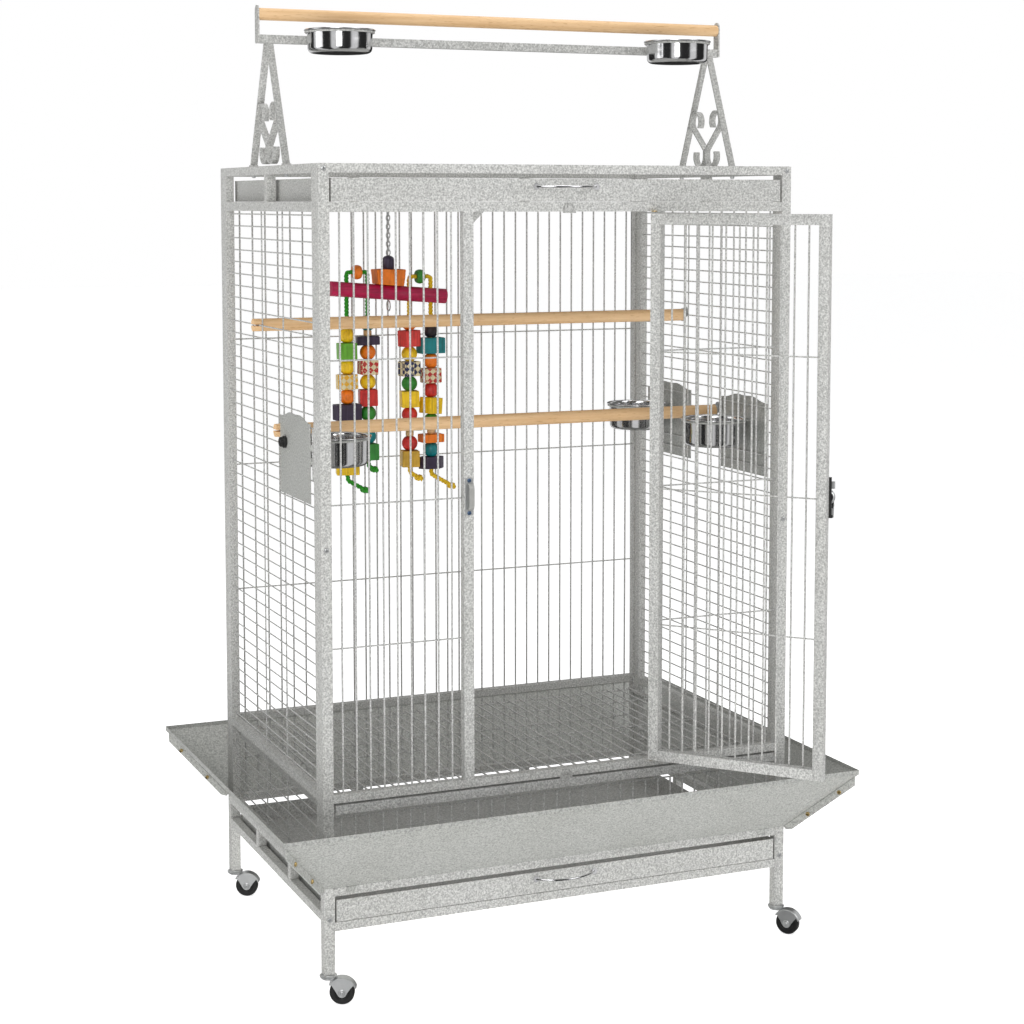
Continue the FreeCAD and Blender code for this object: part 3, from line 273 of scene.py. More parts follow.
def plated(name, colour, low, high, streak=(60.0, 60.0, 900.0), metallic=1.0):
    """Bare or plated metal with fine drawn streaks and a cloudy sheen."""
    metal = Finish(name, low, metallic=metallic)
    streaks = metal.noise(1.0, 3.0, metal.stretched(streak))
    clouds = metal.noise(90.0, 3.0)
    metal.colour(metal.mix(clouds, shade(colour, 0.86), shade(colour, 1.06)))
    metal.roughness(streaks, low, high)
    metal.bump(streaks, 0.06, 0.05)
    return metal.material


def bare_wood(name, light, dark):
    """Sanded dowel: long grain along X, soft bands and small dark flecks."""
    wood = Finish(name, 0.55)
    fibres = wood.noise(1.0, 4.0, wood.stretched((6.0, 150.0, 150.0)), 0.6)
    bands = wood.noise(1.0, 2.0, wood.stretched((2.5, 42.0, 42.0)))
    tone = wood.mix(wood.ramp(fibres, ((0.32, (0.0, 0.0, 0.0)), (0.68, (1.0, 1.0, 1.0)))), dark, light)
    paler = wood.ramp(bands, ((0.3, (0.88, 0.84, 0.78)), (0.65, (1.0, 1.0, 1.0))))
    flecks = wood.ramp(wood.noise(1.0, 1.0, wood.stretched((60.0, 700.0, 700.0))),
                       ((0.25, (0.72, 0.62, 0.5)), (0.36, (1.0, 1.0, 1.0))))
    wood.colour(wood.mix(1.0, wood.mix(1.0, tone, paler, "MULTIPLY"), flecks, "MULTIPLY"))
    wood.roughness(fibres, 0.45, 0.68)
    wood.bump(fibres, 0.25, 0.15)
    return wood.material


def stained(name, colour, along="Z"):
    """Dyed soft wood: the grain shows through, and pores are darker."""
    wood = Finish(name, 0.42, coat=0.25)
    scale = {"X": (14.0, 260.0, 260.0), "Z": (260.0, 260.0, 14.0)}[along]
    fibres = wood.noise(1.0, 4.0, wood.stretched(scale), 0.6)
    blotch = wood.noise(70.0, 2.0)
    tone = wood.ramp(fibres, ((0.25, shade(colour, 0.55)), (0.5, colour), (0.78, shade(colour, 1.25))))
    dirt = wood.ramp(blotch, ((0.3, (0.8, 0.8, 0.8)), (0.6, (1.0, 1.0, 1.0))))
    wood.colour(wood.mix(1.0, tone, dirt, "MULTIPLY"))
    wood.roughness(fibres, 0.32, 0.55)
    wood.bump(fibres, 0.2, 0.15)
    return wood.material


def moulded(name, colour, low, high):
    """Moulded plastic with a faint texture and handling marks."""
    plastic = Finish(name, low, coat=0.1)
    clouds = plastic.noise(160.0, 3.0)
    plastic.colour(plastic.mix(clouds, shade(colour, 0.7), shade(colour, 1.5)))
    plastic.roughness(clouds, low, high)
    plastic.bump(plastic.noise(1500.0, 2.0), 0.2, 0.06)
    return plastic.material


def dyed_fibre(name, colour):
    """Dyed sisal: fine crossing fibres over the strands that the mesh has."""
    fibre = Finish(name, 0.85, specular=0.2)
    fine = fibre.noise(1.0, 3.0, fibre.stretched((900.0, 900.0, 220.0), (0.5, 0.6, 0.0)), 0.7)
    fibre.colour(fibre.ramp(fine, ((0.25, shade(colour, 0.45)), (0.55, colour), (0.8, shade(colour, 1.5)))))
    fibre.bump(fine, 0.6, 0.3)
    fibre.shader.inputs["Sheen Weight"].default_value = 0.25
    return fibre.material


FRAME_PAINT = powder_coat("frame_powder", (0.48, 0.48, 0.465))
SHEET_PAINT = powder_coat("sheet_powder", (0.405, 0.41, 0.39), 0.66, 1.22)
WIRE_PAINT = powder_coat("wire_powder", (0.46, 0.46, 0.45))
ZINC = plated("zinc_plate", (0.66, 0.67, 0.67), 0.22, 0.42, metallic=0.75)
DARK_ZINC = plated("dark_zinc", (0.07, 0.07, 0.07), 0.28, 0.5)
KEEPER = plated("grey_zinc", (0.50, 0.50, 0.48), 0.3, 0.5, metallic=0.4)
BLUE_ZINC = plated("blue_zinc", (0.10, 0.16, 0.27), 0.22, 0.42, metallic=0.7)
CHROME = plated("chrome", (0.82, 0.82, 0.83), 0.05, 0.12)
BRASS = plated("yellow_zinc", (0.78, 0.58, 0.26), 0.18, 0.34)
STEEL = plated("bowl_steel", (0.74, 0.74, 0.75), 0.07, 0.17, (20.0, 20.0, 1400.0))
DOWEL = bare_wood("dowel_wood", (0.95, 0.66, 0.38), (0.82, 0.52, 0.26))
BLACK = moulded("black_plastic", (0.012, 0.012, 0.012), 0.28, 0.45)
TYRE = moulded("black_tyre", (0.01, 0.01, 0.01), 0.3, 0.5)
DYES = {
    "yellow": (0.95, 0.60, 0.006), "green": (0.03, 0.27, 0.03), "lime": (0.15, 0.47, 0.03),
    "orange": (0.95, 0.21, 0.005), "red": (0.62, 0.025, 0.02), "scarlet": (0.78, 0.05, 0.04),
    "purple": (0.045, 0.03, 0.065), "teal": (0.0, 0.22, 0.24), "navy": (0.012, 0.02, 0.07),
    "crimson": (0.50, 0.004, 0.075), "bare": (0.80, 0.50, 0.24), "dark": (0.03, 0.022, 0.03),
    "mustard": (0.62, 0.36, 0.03),
}
WOODS = {name: stained("stained_" + name, colour, "X" if name == "crimson" else "Z")
         for name, colour in DYES.items()}
GREEN_ROPE = dyed_fibre("green_rope", (0.03, 0.33, 0.02))
YELLOW_ROPE = dyed_fibre("yellow_rope", (0.86, 0.55, 0.02))


# ---------------------------------------------------------------- mesh helpers

def basis(axis):
    """Two unit vectors square to an axis."""
    axis = Vector(axis).normalized()
    side = Vector((0.0, 0.0, 1.0)) if abs(axis.z) < 0.9 else Vector((1.0, 0.0, 0.0))
    first = axis.cross(side).normalized()
    return first, axis.cross(first).normalized()


class Form:
    """Collects closed surfaces, in millimetres from the cage's centre line, into one mesh piece."""

    def __init__(self, move=None):
        self.points, self.faces = [], []
        self.move = move or (lambda p: p)

    def add(self, points, faces):
        start = len(self.points)
        self.points += [self.move(Vector(p)) for p in points]
        self.faces += [tuple(start + i for i in face) for face in faces]
        return self

    def block(self, low, high):
        xs, ys, zs = zip(low, high)
        corners = [(x, y, z) for x in xs for y in ys for z in zs]
        return self.add(corners, [(0, 1, 3, 2), (4, 6, 7, 5), (0, 4, 5, 1), (2, 3, 7, 6), (0, 2, 6, 4),
                                  (1, 5, 7, 3)])

    def prism(self, outline, along):
        """A closed outline of points, pushed along a vector."""
        count = len(outline)
        along = Vector(along)
        points = [Vector(p) for p in outline] + [Vector(p) + along for p in outline]
        faces = [tuple(range(count))[::-1], tuple(range(count, 2 * count))]
        faces += [(i, (i + 1) % count, count + (i + 1) % count, count + i) for i in range(count)]
        return self.add(points, faces)

    def lathe(self, profile, centre, axis=(0, 0, 1), sides=40):
        """A closed profile of (radius, height) pairs turned about an axis; radius 0 makes a pole."""
        first, second = basis(axis)
        axis, centre = Vector(axis).normalized(), Vector(centre)
        points, rings = [], []
        for radius, height in profile:
            if radius < 1e-6:
                rings.append([len(points)] * sides)
                points.append(centre + axis * height)
                continue
            rings.append(list(range(len(points), len(points) + sides)))
            for k in range(sides):
                turn = 2 * math.pi * k / sides
                reach = (first * math.cos(turn) + second * math.sin(turn)) * radius
                points.append(centre + axis * height + reach)
        faces = []
        count = len(rings)
        for i in range(count):
            one, two = rings[i], rings[(i + 1) % count]
            if one[0] == one[-1] and two[0] == two[-1]:
                continue
            for k in range(sides):
                n = (k + 1) % sides
                face = [one[k], one[n], two[n], two[k]]
                faces.append(tuple(dict.fromkeys(face)))
        return self.add(points, faces)

    def sweep(self, path, radius, sides=12, closed=False):
        """A round bar that follows a list of points."""
        path = [Vector(p) for p in path]
        count = len(path)
        points, normal = [], None
        for i, here in enumerate(path):
            before = path[i - 1] if closed or i else here
            after = path[(i + 1) % count] if closed or i < count - 1 else here
            tangent = (after - before).normalized()
            if normal is None:
                normal = basis(tangent)[0]
            normal = (normal - tangent * normal.dot(tangent)).normalized()
            other = tangent.cross(normal)
            size = radius(i) if callable(radius) else radius
            for k in range(sides):
                turn = 2 * math.pi * k / sides
                points.append(here + (normal * math.cos(turn) + other * math.sin(turn)) * size)
        faces = []
        for i in range(count if closed else count - 1):
            a, b = i * sides, (i + 1) % count * sides
            faces += [(a + k, a + (k + 1) % sides, b + (k + 1) % sides, b + k) for k in range(sides)]
        if not closed:
            faces += [tuple(range(sides))[::-1], tuple(range((count - 1) * sides, count * sides))]
        return self.add(points, faces)

    def piece(self, name, body, slot, material, replaces=(), bevel=0.0, segments=2, angle=35.0):
        """Makes the object, rides it on its body and rounds its edges; bevel is in millimetres."""
        mesh = bpy.data.meshes.new(name)
        mesh.from_pydata([at(*p) for p in self.points], [], self.faces)
        mesh.validate()
        mesh.update()
        item = bpy.data.objects.new(name, mesh)
        bpy.context.scene.collection.objects.link(item)
        materials = material if isinstance(material, (list, tuple)) else [material]
        for entry in materials:
            mesh.materials.append(entry)
        outward(mesh)
        mesh.shade_smooth()
        if bevel:
            round_edges(item, bevel, segments, angle)
        else:
            mesh.set_sharp_from_angle(angle=math.radians(angle))
        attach(item, body)
        if replaces:
            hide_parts(*replaces)
        return item


def outward(mesh):
    """Makes every closed shell's faces look outwards."""
    work = bmesh.new()
    work.from_mesh(mesh)
    bmesh.ops.recalc_face_normals(work, faces=work.faces)
    work.to_mesh(mesh)
    work.free()


def round_edges(item, width, segments=2, angle=35.0):
    bevel = item.modifiers.new("rounded_edges", "BEVEL")
    bevel.width = width * MM
    bevel.segments = segments
    bevel.limit_method = "ANGLE"
    bevel.angle_limit = math.radians(angle)
    bevel.harden_normals = True
    bevel.miter_outer = "MITER_ARC"


WELD_GAP = 0.02 * MM                            # joins the seams between a CAD node's faces


def dress(names, material, bevel=0.0):
    """Paints CAD nodes and rounds their sharp edges."""
    for name in names:
        item = NODES[name]
        item.data.materials.clear()
        item.data.materials.append(material)
        if bevel:
            weld = item.modifiers.new("weld", "WELD")
            weld.merge_threshold = WELD_GAP
            round_edges(item, bevel)


def arc(centre, radius, start, end, steps):
    """Points (u, v) of an arc in a plane, angles in degrees."""
    return [(centre[0] + radius * math.cos(math.radians(start + (end - start) * i / steps)),
             centre[1] + radius * math.sin(math.radians(start + (end - start) * i / steps)))
            for i in range(steps + 1)]


# ---------------------------------------------------------------- the welded frame, in CAD shapes

def dress_frame():
    dress(["stand_frame", "front_frame", "rear_frame", "side_frame_left", "side_frame_right", "door_leaf"],
          FRAME_PAINT, 1.1)
    dress(["front_bars", "rear_bars", "side_wires_left", "side_wires_right", "roof_grille"], WIRE_PAINT)
    dress(["grate"], WIRE_PAINT)
    dress(["skirt_front", "skirt_right", "skirt_rear", "skirt_left"], SHEET_PAINT, 0.5)
    dress(["top_tray", "bottom_tray"], FRAME_PAINT, 0.5)
    dress(["play_frame_left", "play_frame_right", "play_rings"], FRAME_PAINT, 0.5)
    dress(["play_crossbar"], FRAME_PAINT, 1.1)
    dress(["tab_header", "tab_sill"], FRAME_PAINT, 0.3)
    dress(["feeder_door_left", "feeder_door_right_front", "feeder_door_right_rear"], SHEET_PAINT, 0.4)
    dress(["top_handle", "bottom_handle"], CHROME)
    dress(["play_perch", "perch_upper", "perch_lower"], DOWEL, 0.8)
    dress(["perch_fixings", "caster_plates", "frame_screws", "toy_chain"], ZINC, 0.3)
    dress(["brass_screws"], BRASS, 0.3)
    dress(["door_lock"], DARK_ZINC, 1.0)
    dress(["door_lever", "feeder_knob_left", "feeder_knob_right_front", "feeder_knob_right_rear"], BLACK, 0.8)
    dress([n for n in NODES if n.startswith("caster_fork")], ZINC, 0.3)
    dress([n for n in NODES if n.startswith("caster_wheel")], TYRE)
    dress([n for n in NODES if "bowl" in n], STEEL, 0.3)
    dress(["toy_bar"], WOODS["crimson"], 2.0)
    dress(["toy_head"], WOODS["orange"], 1.0)
    dress(["toy_beads"], WOODS["yellow"], 1.0)
    dress(["toy_ropes"], GREEN_ROPE)


# ---------------------------------------------------------------- the hanging toy

TOY_X, TOY_Y = -166.27, 157.0
ROOF_BAR_Z = 1378.0
BAR_Z, BAR_R = 1214.0, 14.5                     # the toy's wooden bar, at its middle
TILT = math.radians(4.5)
ROPE_R = 4.75
ROPE_LAY = 0.021                                # one full turn of the strands, in metres
HOLE_R = ROPE_R + 0.5
STRANDS = (-86.0, -43.4, 42.7, 87.7)            # the four strings, from the bar's middle
TOPS = (1146.0, 1169.0, 1167.5, 1152.0)         # where each string's first bead starts
# half width (or radius) and half height of each kind of wooden form
FORMS = {"bead": (15.5, 13.6), "block": (18, 16.5), "cube": (18, 15), "wide": (26, 16), "flat": (23, 8.5),
         "hex": (27, 12), "gap": (8, 5.5)}
PATTERN = (
    (("bead", "yellow"), ("block", "lime"), ("bead", "yellow"), ("cube", "yellow"), ("bead", "orange"),
     ("wide", "purple"), ("bead", "red"), ("block", "green"), ("bead", "teal"), ("flat", "yellow")),
    (("bead", "teal"), ("gap", "bare"), ("flat", "purple"), ("bead", "orange"), ("cube", "red"),
     ("bead", "yellow"), ("block", "red"), ("bead", "green"), ("flat", "mustard"), ("bead", "teal"),
     ("block", "green")),
    (("bead", "orange"), ("block", "scarlet"), ("bead", "yellow"), ("cube", "navy"), ("bead", "green"),
     ("block", "yellow"), ("bead", "red"), ("flat", "green"), ("gap", "bare"), ("bead", "red"),
     ("block", "mustard")),
    (("bead", "dark"), ("wide", "teal"), ("bead", "orange"), ("cube", "red"), ("bead", "red"),
     ("block", "yellow"), ("bead", "green"), ("gap", "bare"), ("flat", "orange"), ("bead", "teal"),
     ("hex", "purple")),
)
TAILS = (58.0, 32.0, 40.0, 68.0)                # rope below each string's last form
SPACE = 0.5                                     # gap between two forms
TOY = "hanging_toy"


def turned_block(x, z, wide, deep, tall, spin, lean):
    """A block with a slightly uneven saw cut, turned about its string."""
    form = Form(lambda p: turn_about(p, x, z, spin, lean))
    form.block((x - wide, TOY_Y - deep, z - tall), (x + wide, TOY_Y + deep, z + tall))
    return form


def turn_about(p, x, z, spin, lean):
    offset = Vector((p.x - x, p.y - TOY_Y, p.z - z))
    turn = Matrix.Rotation(math.radians(spin), 3, "Z") @ Matrix.Rotation(math.radians(lean), 3, "Y")
    return turn @ offset + Vector((x, TOY_Y, z))


def hang_forms():
    """The beads and blocks on each string, from the top; returns the level below each string's last form."""
    ends = []
    for line, (dx, z, row) in enumerate(zip(STRANDS, TOPS, PATTERN)):
        x = TOY_X + dx
        for k, (kind, dye) in enumerate(row):
            wide, tall = FORMS[kind]
            z -= tall
            name = "toy_%s_%d_%d" % (kind, line + 1, k + 1)
            if kind in ("bead", "gap"):
                if kind == "bead":
                    face = math.asin(min(1.0, tall / wide))
                    side = [(wide * math.cos(a), wide * math.sin(a))
                            for a in (face * (i / 9.0) for i in range(-9, 10))]
                else:
                    side = [(wide * 0.9, -tall), (wide, -tall * 0.6), (wide, tall * 0.6), (wide * 0.9, tall)]
                profile = [(HOLE_R, side[0][1])] + side + [(HOLE_R, side[-1][1])]
                form = Form().lathe(profile, (x, TOY_Y, z), sides=32)
                form.piece(name, TOY, "toy_wood", WOODS[dye], ["toy_beads"], 0.7, 2, 40)
            else:
                spin = CHANCE.uniform(-14, 14) if kind != "wide" else CHANCE.uniform(-6, 6)
                lean = CHANCE.uniform(-2.0, 2.0)
                if kind == "block" and line == 3:
                    spin, lean = 24.0, 5.0
                paint = PRINTS[dye] if kind == "cube" else WOODS[dye]
                if kind == "hex":
                    corners = [(x + wide * math.cos(math.radians(a)), TOY_Y + 17 * math.sin(math.radians(a)),
                                z - tall) for a in range(0, 360, 60)]
                    form = Form().prism(corners, (0, 0, 2 * tall))
                else:
                    form = turned_block(x, z, wide * 0.97, 15.6, tall * 0.97, spin, lean)
                form.piece(name, TOY, "toy_wood", paint, ["toy_beads"], 1.6, 3)
            z -= tall + SPACE
        ends.append(z)
    return ends


def printed(name, colour, ground=(0.78, 0.68, 0.42)):
    """A wooden cube with a plain chequer of printed diamonds and dots."""
    wood = Finish(name, 0.45, coat=0.2)
    turned = wood.stretched((115.0, 115.0, 115.0), (0.0, math.radians(45), 0.0))
    checks = wood.nodes.new("ShaderNodeTexChecker")
    checks.inputs["Scale"].default_value = 1.0
    wood.links.new(turned, checks.inputs["Vector"])
    wear_and_highlight = wood.noise(420.0, 3.0)
    fibres = wood.noise(1.0, 4.0, wood.stretched((240.0, 240.0, 16.0)))
    base = wood.ramp(fibres, ((0.3, shade(ground, 0.8)), (0.7, shade(ground, 1.1))))
    ink = wood.mix(wood.ramp(wear_and_highlight, ((0.34, (0.0, 0.0, 0.0)), (0.42, (1.0, 1.0, 1.0)))), base, colour)
    wood.colour(wood.mix(checks.outputs["Fac"], base, ink))
    wood.roughness(wear_and_highlight, 0.38, 0.55)
    wood.bump(fibres, 0.2, 0.12)
    return wood.material


PRINTS = {name: printed("printed_" + name, colour) for name, colour in
          {"yellow": (0.80, 0.42, 0.01), "red": (0.50, 0.02, 0.02), "navy": (0.01, 0.02, 0.09)}.items()}


def spline_points(points):
    """A smooth line through the air whose control points are given; returns the points along it."""
    curve = bpy.data.curves.new("route", "CURVE")
    curve.dimensions = "3D"
    spline = curve.splines.new("NURBS")
    spline.points.add(len(points) - 1)
    for control, point in zip(spline.points, points):
        control.co = (*at(*point), 1.0)
    spline.order_u = 3
    spline.use_endpoint_u = True
    spline.resolution_u = 14
    holder = bpy.data.objects.new("route", curve)
    bpy.context.scene.collection.objects.link(holder)
    bpy.context.view_layer.update()
    mesh = bpy.data.meshes.new_from_object(holder.evaluated_get(bpy.context.evaluated_depsgraph_get()))
    found = [v.co.copy() for v in mesh.vertices]
    bpy.data.objects.remove(holder)
    bpy.data.curves.remove(curve)
    bpy.data.meshes.remove(mesh)
    return found


def even_points(points, step):
    """The same line with its points a fixed step apart."""
    lengths = [0.0]
    for a, b in zip(points, points[1:]):
        lengths.append(lengths[-1] + (b - a).length)
    total, result, k = lengths[-1], [], 0
    count = max(2, int(round(total / step)))
    for i in range(count + 1):
        want = total * i / count
        while k < len(points) - 2 and lengths[k + 1] < want:
            k += 1
        share = (want - lengths[k]) / max(lengths[k + 1] - lengths[k], 1e-9)
        result.append(points[k].lerp(points[k + 1], min(1.0, max(0.0, share))))
    return result, total


def rope(name, points, material):
    """A twisted rope of three strands along a route."""
    line, total = even_points(spline_points(points), 0.0012)
    sides, twist, radius, lobes = 18, 2 * math.pi / ROPE_LAY, ROPE_R * MM, 3
    rings, faces = [], []
    normal = None
    for i, here in enumerate(line):
        tangent = (line[min(i + 1, len(line) - 1)] - line[max(i - 1, 0)]).normalized()
        if normal is None:
            normal = basis(tangent)[0]
        normal = (normal - tangent * normal.dot(tangent)).normalized()
        other = tangent.cross(normal)
        phase = twist * total * i / (len(line) - 1)
        for k in range(sides):
            turn = 2 * math.pi * k / sides
            reach = radius * (0.86 + 0.14 * math.cos(lobes * turn))
            rings.append(here + (normal * math.cos(turn + phase) + other * math.sin(turn + phase)) * reach)
    for i in range(len(line) - 1):
        a, b = i * sides, (i + 1) * sides
        faces += [(a + k, a + (k + 1) % sides, b + (k + 1) % sides, b + k) for k in range(sides)]
    faces += [tuple(range(sides))[::-1], tuple(range((len(line) - 1) * sides, len(line) * sides))]
    mesh = bpy.data.meshes.new(name)
    mesh.from_pydata(rings, [], faces)
    mesh.update()
    item = bpy.data.objects.new(name, mesh)
    bpy.context.scene.collection.objects.link(item)
    mesh.materials.append(material)
    outward(mesh)
    mesh.shade_smooth()
    mesh.set_sharp_from_angle(angle=math.radians(70))
    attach(item, TOY)
    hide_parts("toy_ropes")


def knot(name, x, z, material):
    """A pulled-tight overhand knot: a three-leafed loop round the string."""
    path = []
    for i in range(48):
        t = 2 * math.pi * i / 48
        path.append((x + (math.sin(t) + 2 * math.sin(2 * t)) * 2.3,
                     TOY_Y + (math.cos(t) - 2 * math.cos(2 * t)) * 2.3, z - math.sin(3 * t) * 3.2))
    return Form().sweep(path, 2.9, 12, closed=True).piece(name, TOY, "rope", material, angle=60)


def string_toy(ends):
    """Two ropes; each comes up through one string, over the bar through a bead, and down the next string."""
    bend, drop, bend_r, turn = 14.0, 3.0, 14.0, math.radians(60)
    half_rise = BAR_R / math.cos(TILT)
    kinds = ((0, GREEN_ROPE, "orange"), (2, YELLOW_ROPE, "green"))
    for pair, (first, rope_paint, bead_paint) in enumerate(kinds):
        turn_z = BAR_Z - STRANDS[first] * math.tan(TILT) + half_rise + 5
        left, right = TOY_X + STRANDS[first], TOY_X + STRANDS[first + 1]
        top_z = turn_z + bend
        starts = []
        for line in (first, first + 1):
            x, z, length = TOY_X + STRANDS[line], ends[line], TAILS[line]
            over = BAR_Z - STRANDS[line] * math.tan(TILT) + half_rise
            corner = z - drop - bend_r * math.tan(turn / 2)
            rest = length - drop - bend_r * turn
            low = (x + bend_r * (1 - math.cos(turn)), z - drop - bend_r * math.sin(turn))
            tip = (low[0] + math.sin(turn) * rest, low[1] - math.cos(turn) * rest)
            route = [(x, TOY_Y, over), (x, TOY_Y, (over + z) / 2), (x, TOY_Y, z + 8),
                     (x, TOY_Y, corner), (low[0], TOY_Y, low[1]), (tip[0], TOY_Y, tip[1])]
            lump = knot("toy_knot_%d" % (line + 1), tip[0] - 7, tip[1] + 4, rope_paint)
            rope("toy_string_%d" % (line + 1), route, rope_paint)
            starts.append(over)
        over = [(left, starts[0]), (left, turn_z), (left, top_z), (left + bend, top_z),
                ((left + right) / 2, top_z), (right - bend, top_z), (right, top_z), (right, turn_z),
                (right, starts[1])]
        arch = [(x, TOY_Y, z) for x, z in over]
        rope("toy_arch_%d" % (pair + 1), arch, rope_paint)
        mid = (left + right) / 2
        side = [(14 * math.cos(a), 14 * math.sin(a))
                for a in (math.asin(8 / 14) * i / 8.0 for i in range(-8, 9))]
        profile = [(HOLE_R, side[0][1])] + side + [(HOLE_R, side[-1][1])]
        Form().lathe(profile, (mid, TOY_Y, top_z), (1, 0, 0), 32).piece(
            "toy_crown_bead_%d" % (pair + 1), TOY, "toy_wood", WOODS[bead_paint], ["toy_beads"], 0.7, 2, 40)


def oblong(centre, wide, tall, flat, count=40):
    """The centre line of an oblong link in the XZ or YZ plane."""
    path = []
    for i in range(count):
        t = 2 * math.pi * i / count
        across = math.copysign(abs(math.cos(t)) ** 0.8, math.cos(t)) * wide
        along = math.copysign(abs(math.sin(t)) ** 0.9, math.sin(t)) * tall
        path.append((centre[0] + (0 if flat else across), centre[1] + (across if flat else 0),
                     centre[2] + along))
    return path


def build_toy_head():
    """Chain, hook ring, wooden cap and the block that sits on the bar."""
    hook_z, pitch, links = ROOF_BAR_Z + 1.7 + 0.3 - 4.3, 8.4, 10
    chain = Form()
    for k in range(links):
        wide = 5.4 if k == 0 else 3.7
        chain.sweep(oblong((TOY_X, TOY_Y, hook_z - k * pitch), wide, 5.4, k % 2), 1.1, 10, closed=True)
    chain.sweep([(TOY_X, TOY_Y + 10 * math.cos(t), BAR_Z - BAR_R - 11.4 + 10 * math.sin(t))
                 for t in (2 * math.pi * i / 40 for i in range(40))], 1.2, 10, closed=True)
    chain.piece("toy_links", TOY, "zinc", ZINC, ["toy_chain"], angle=60)
    eye_z = hook_z - links * pitch
    low = eye_z - 5.4 - 27
    cap = Form().lathe([(0, 0), (11.2, 0), (11.5, 1), (11.5, 18.5)] + [
        (11.5 * math.cos(a), 18.5 + 8.5 * math.sin(a)) for a in (math.radians(d) for d in range(10, 90, 10))]
        + [(0, 27)], (TOY_X, TOY_Y, low), sides=40)
    cap.piece("toy_cap", TOY, "toy_wood", WOODS["purple"], ["toy_head"], angle=50)
    eye = Form().sweep(oblong((TOY_X, TOY_Y, eye_z), 3.9, 5.6, False), 1.1, 10, closed=True)
    eye.piece("toy_cap_eye", TOY, "zinc", ZINC, ["toy_head"], angle=60)
    base = [BAR_Z - dx * math.tan(TILT) + BAR_R / math.cos(TILT) for dx in (26, 14, -13, -27)]
    outline = [(-30, low), (-10, low + 0.8), (12, low - 0.6), (30, low), (28.5, (low + base[0]) / 2),
               (26, base[0]), (14, base[1]), (-13, base[2]), (-27, base[3]), (-28, (low + base[3]) / 2)]
    block = Form().prism([(TOY_X + dx, TOY_Y - 20, z) for dx, z in outline], (0, 40, 0))
    block.piece("toy_top_block", TOY, "toy_wood", WOODS["orange"], ["toy_head"], 2.0, 3, 20)


# ---------------------------------------------------------------- bowls

def spin_bowl(name, body, node, x, y, rim_z, depth):
    """A spun steel bowl: rounded foot, upright wall, flared lip and rolled bead."""
    wall, rim, gauge, corner, bead = 58.6, 64.0, 0.8, 9.0, 1.5
    base = rim_z - depth
    outer = [(0, base + 1.4), (30, base + 1.2), (44, base + 0.3), (wall - corner - 2, base)]
    outer += [(r, z) for r, z in arc((wall - corner - 0.6, base + corner), corner, -80, 0, 7)]
    outer += [(wall - 0.4, base + depth * 0.55), (wall, rim_z - 7), (wall + 0.4, rim_z - 3.6)]
    outer += arc((rim - bead, rim_z - bead), bead, -120, 130, 9)
    inner = [(wall + 0.8, rim_z - 0.9), (wall - gauge + 0.3, rim_z - 3.2), (wall - gauge, rim_z - 7),
             (wall - 0.4 - gauge, base + depth * 0.55)]
    inner += arc((wall - corner - 0.6, base + corner), corner - gauge, 0, -80, 7)
    inner += [(44, base + 0.3 + gauge), (30, base + 1.2 + gauge), (0, base + 1.4 + gauge)]
    Form().lathe(outer + inner, (x, y, 0), sides=72).piece(name, body, "steel", STEEL, [node], angle=50)


def build_bowls():
    for tag, sx, sy in FEEDERS:
        spin_bowl("steel_bowl_" + tag, "bowl_" + tag, "feeder_bowl_" + tag, sx * 381, sy * 163, 977, 53)
    for side, sx in (("left", -1), ("right", 1)):
        spin_bowl("steel_play_bowl_" + side, "bowl_top_" + side, "play_bowl_" + side, sx * 340, -80, 1697, 42)


# ---------------------------------------------------------------- door furniture

OPEN = math.radians(131)
HINGE_X, HINGE_Y = 171.5, -318.0
LOCK_X, LOCK_Z = -155.0, 876.0                  # the lever's axis on the closed door
LOCK_LEFT, LOCK_RIGHT = -168.0, -143.0


def swung(p):
    """A point of the closed door, turned to the open door's place."""
    dx, dy = p.x - HINGE_X, p.y - HINGE_Y
    return Vector((HINGE_X + dx * math.cos(OPEN) - dy * math.sin(OPEN),
                   HINGE_Y + dx * math.sin(OPEN) + dy * math.cos(OPEN), p.z))


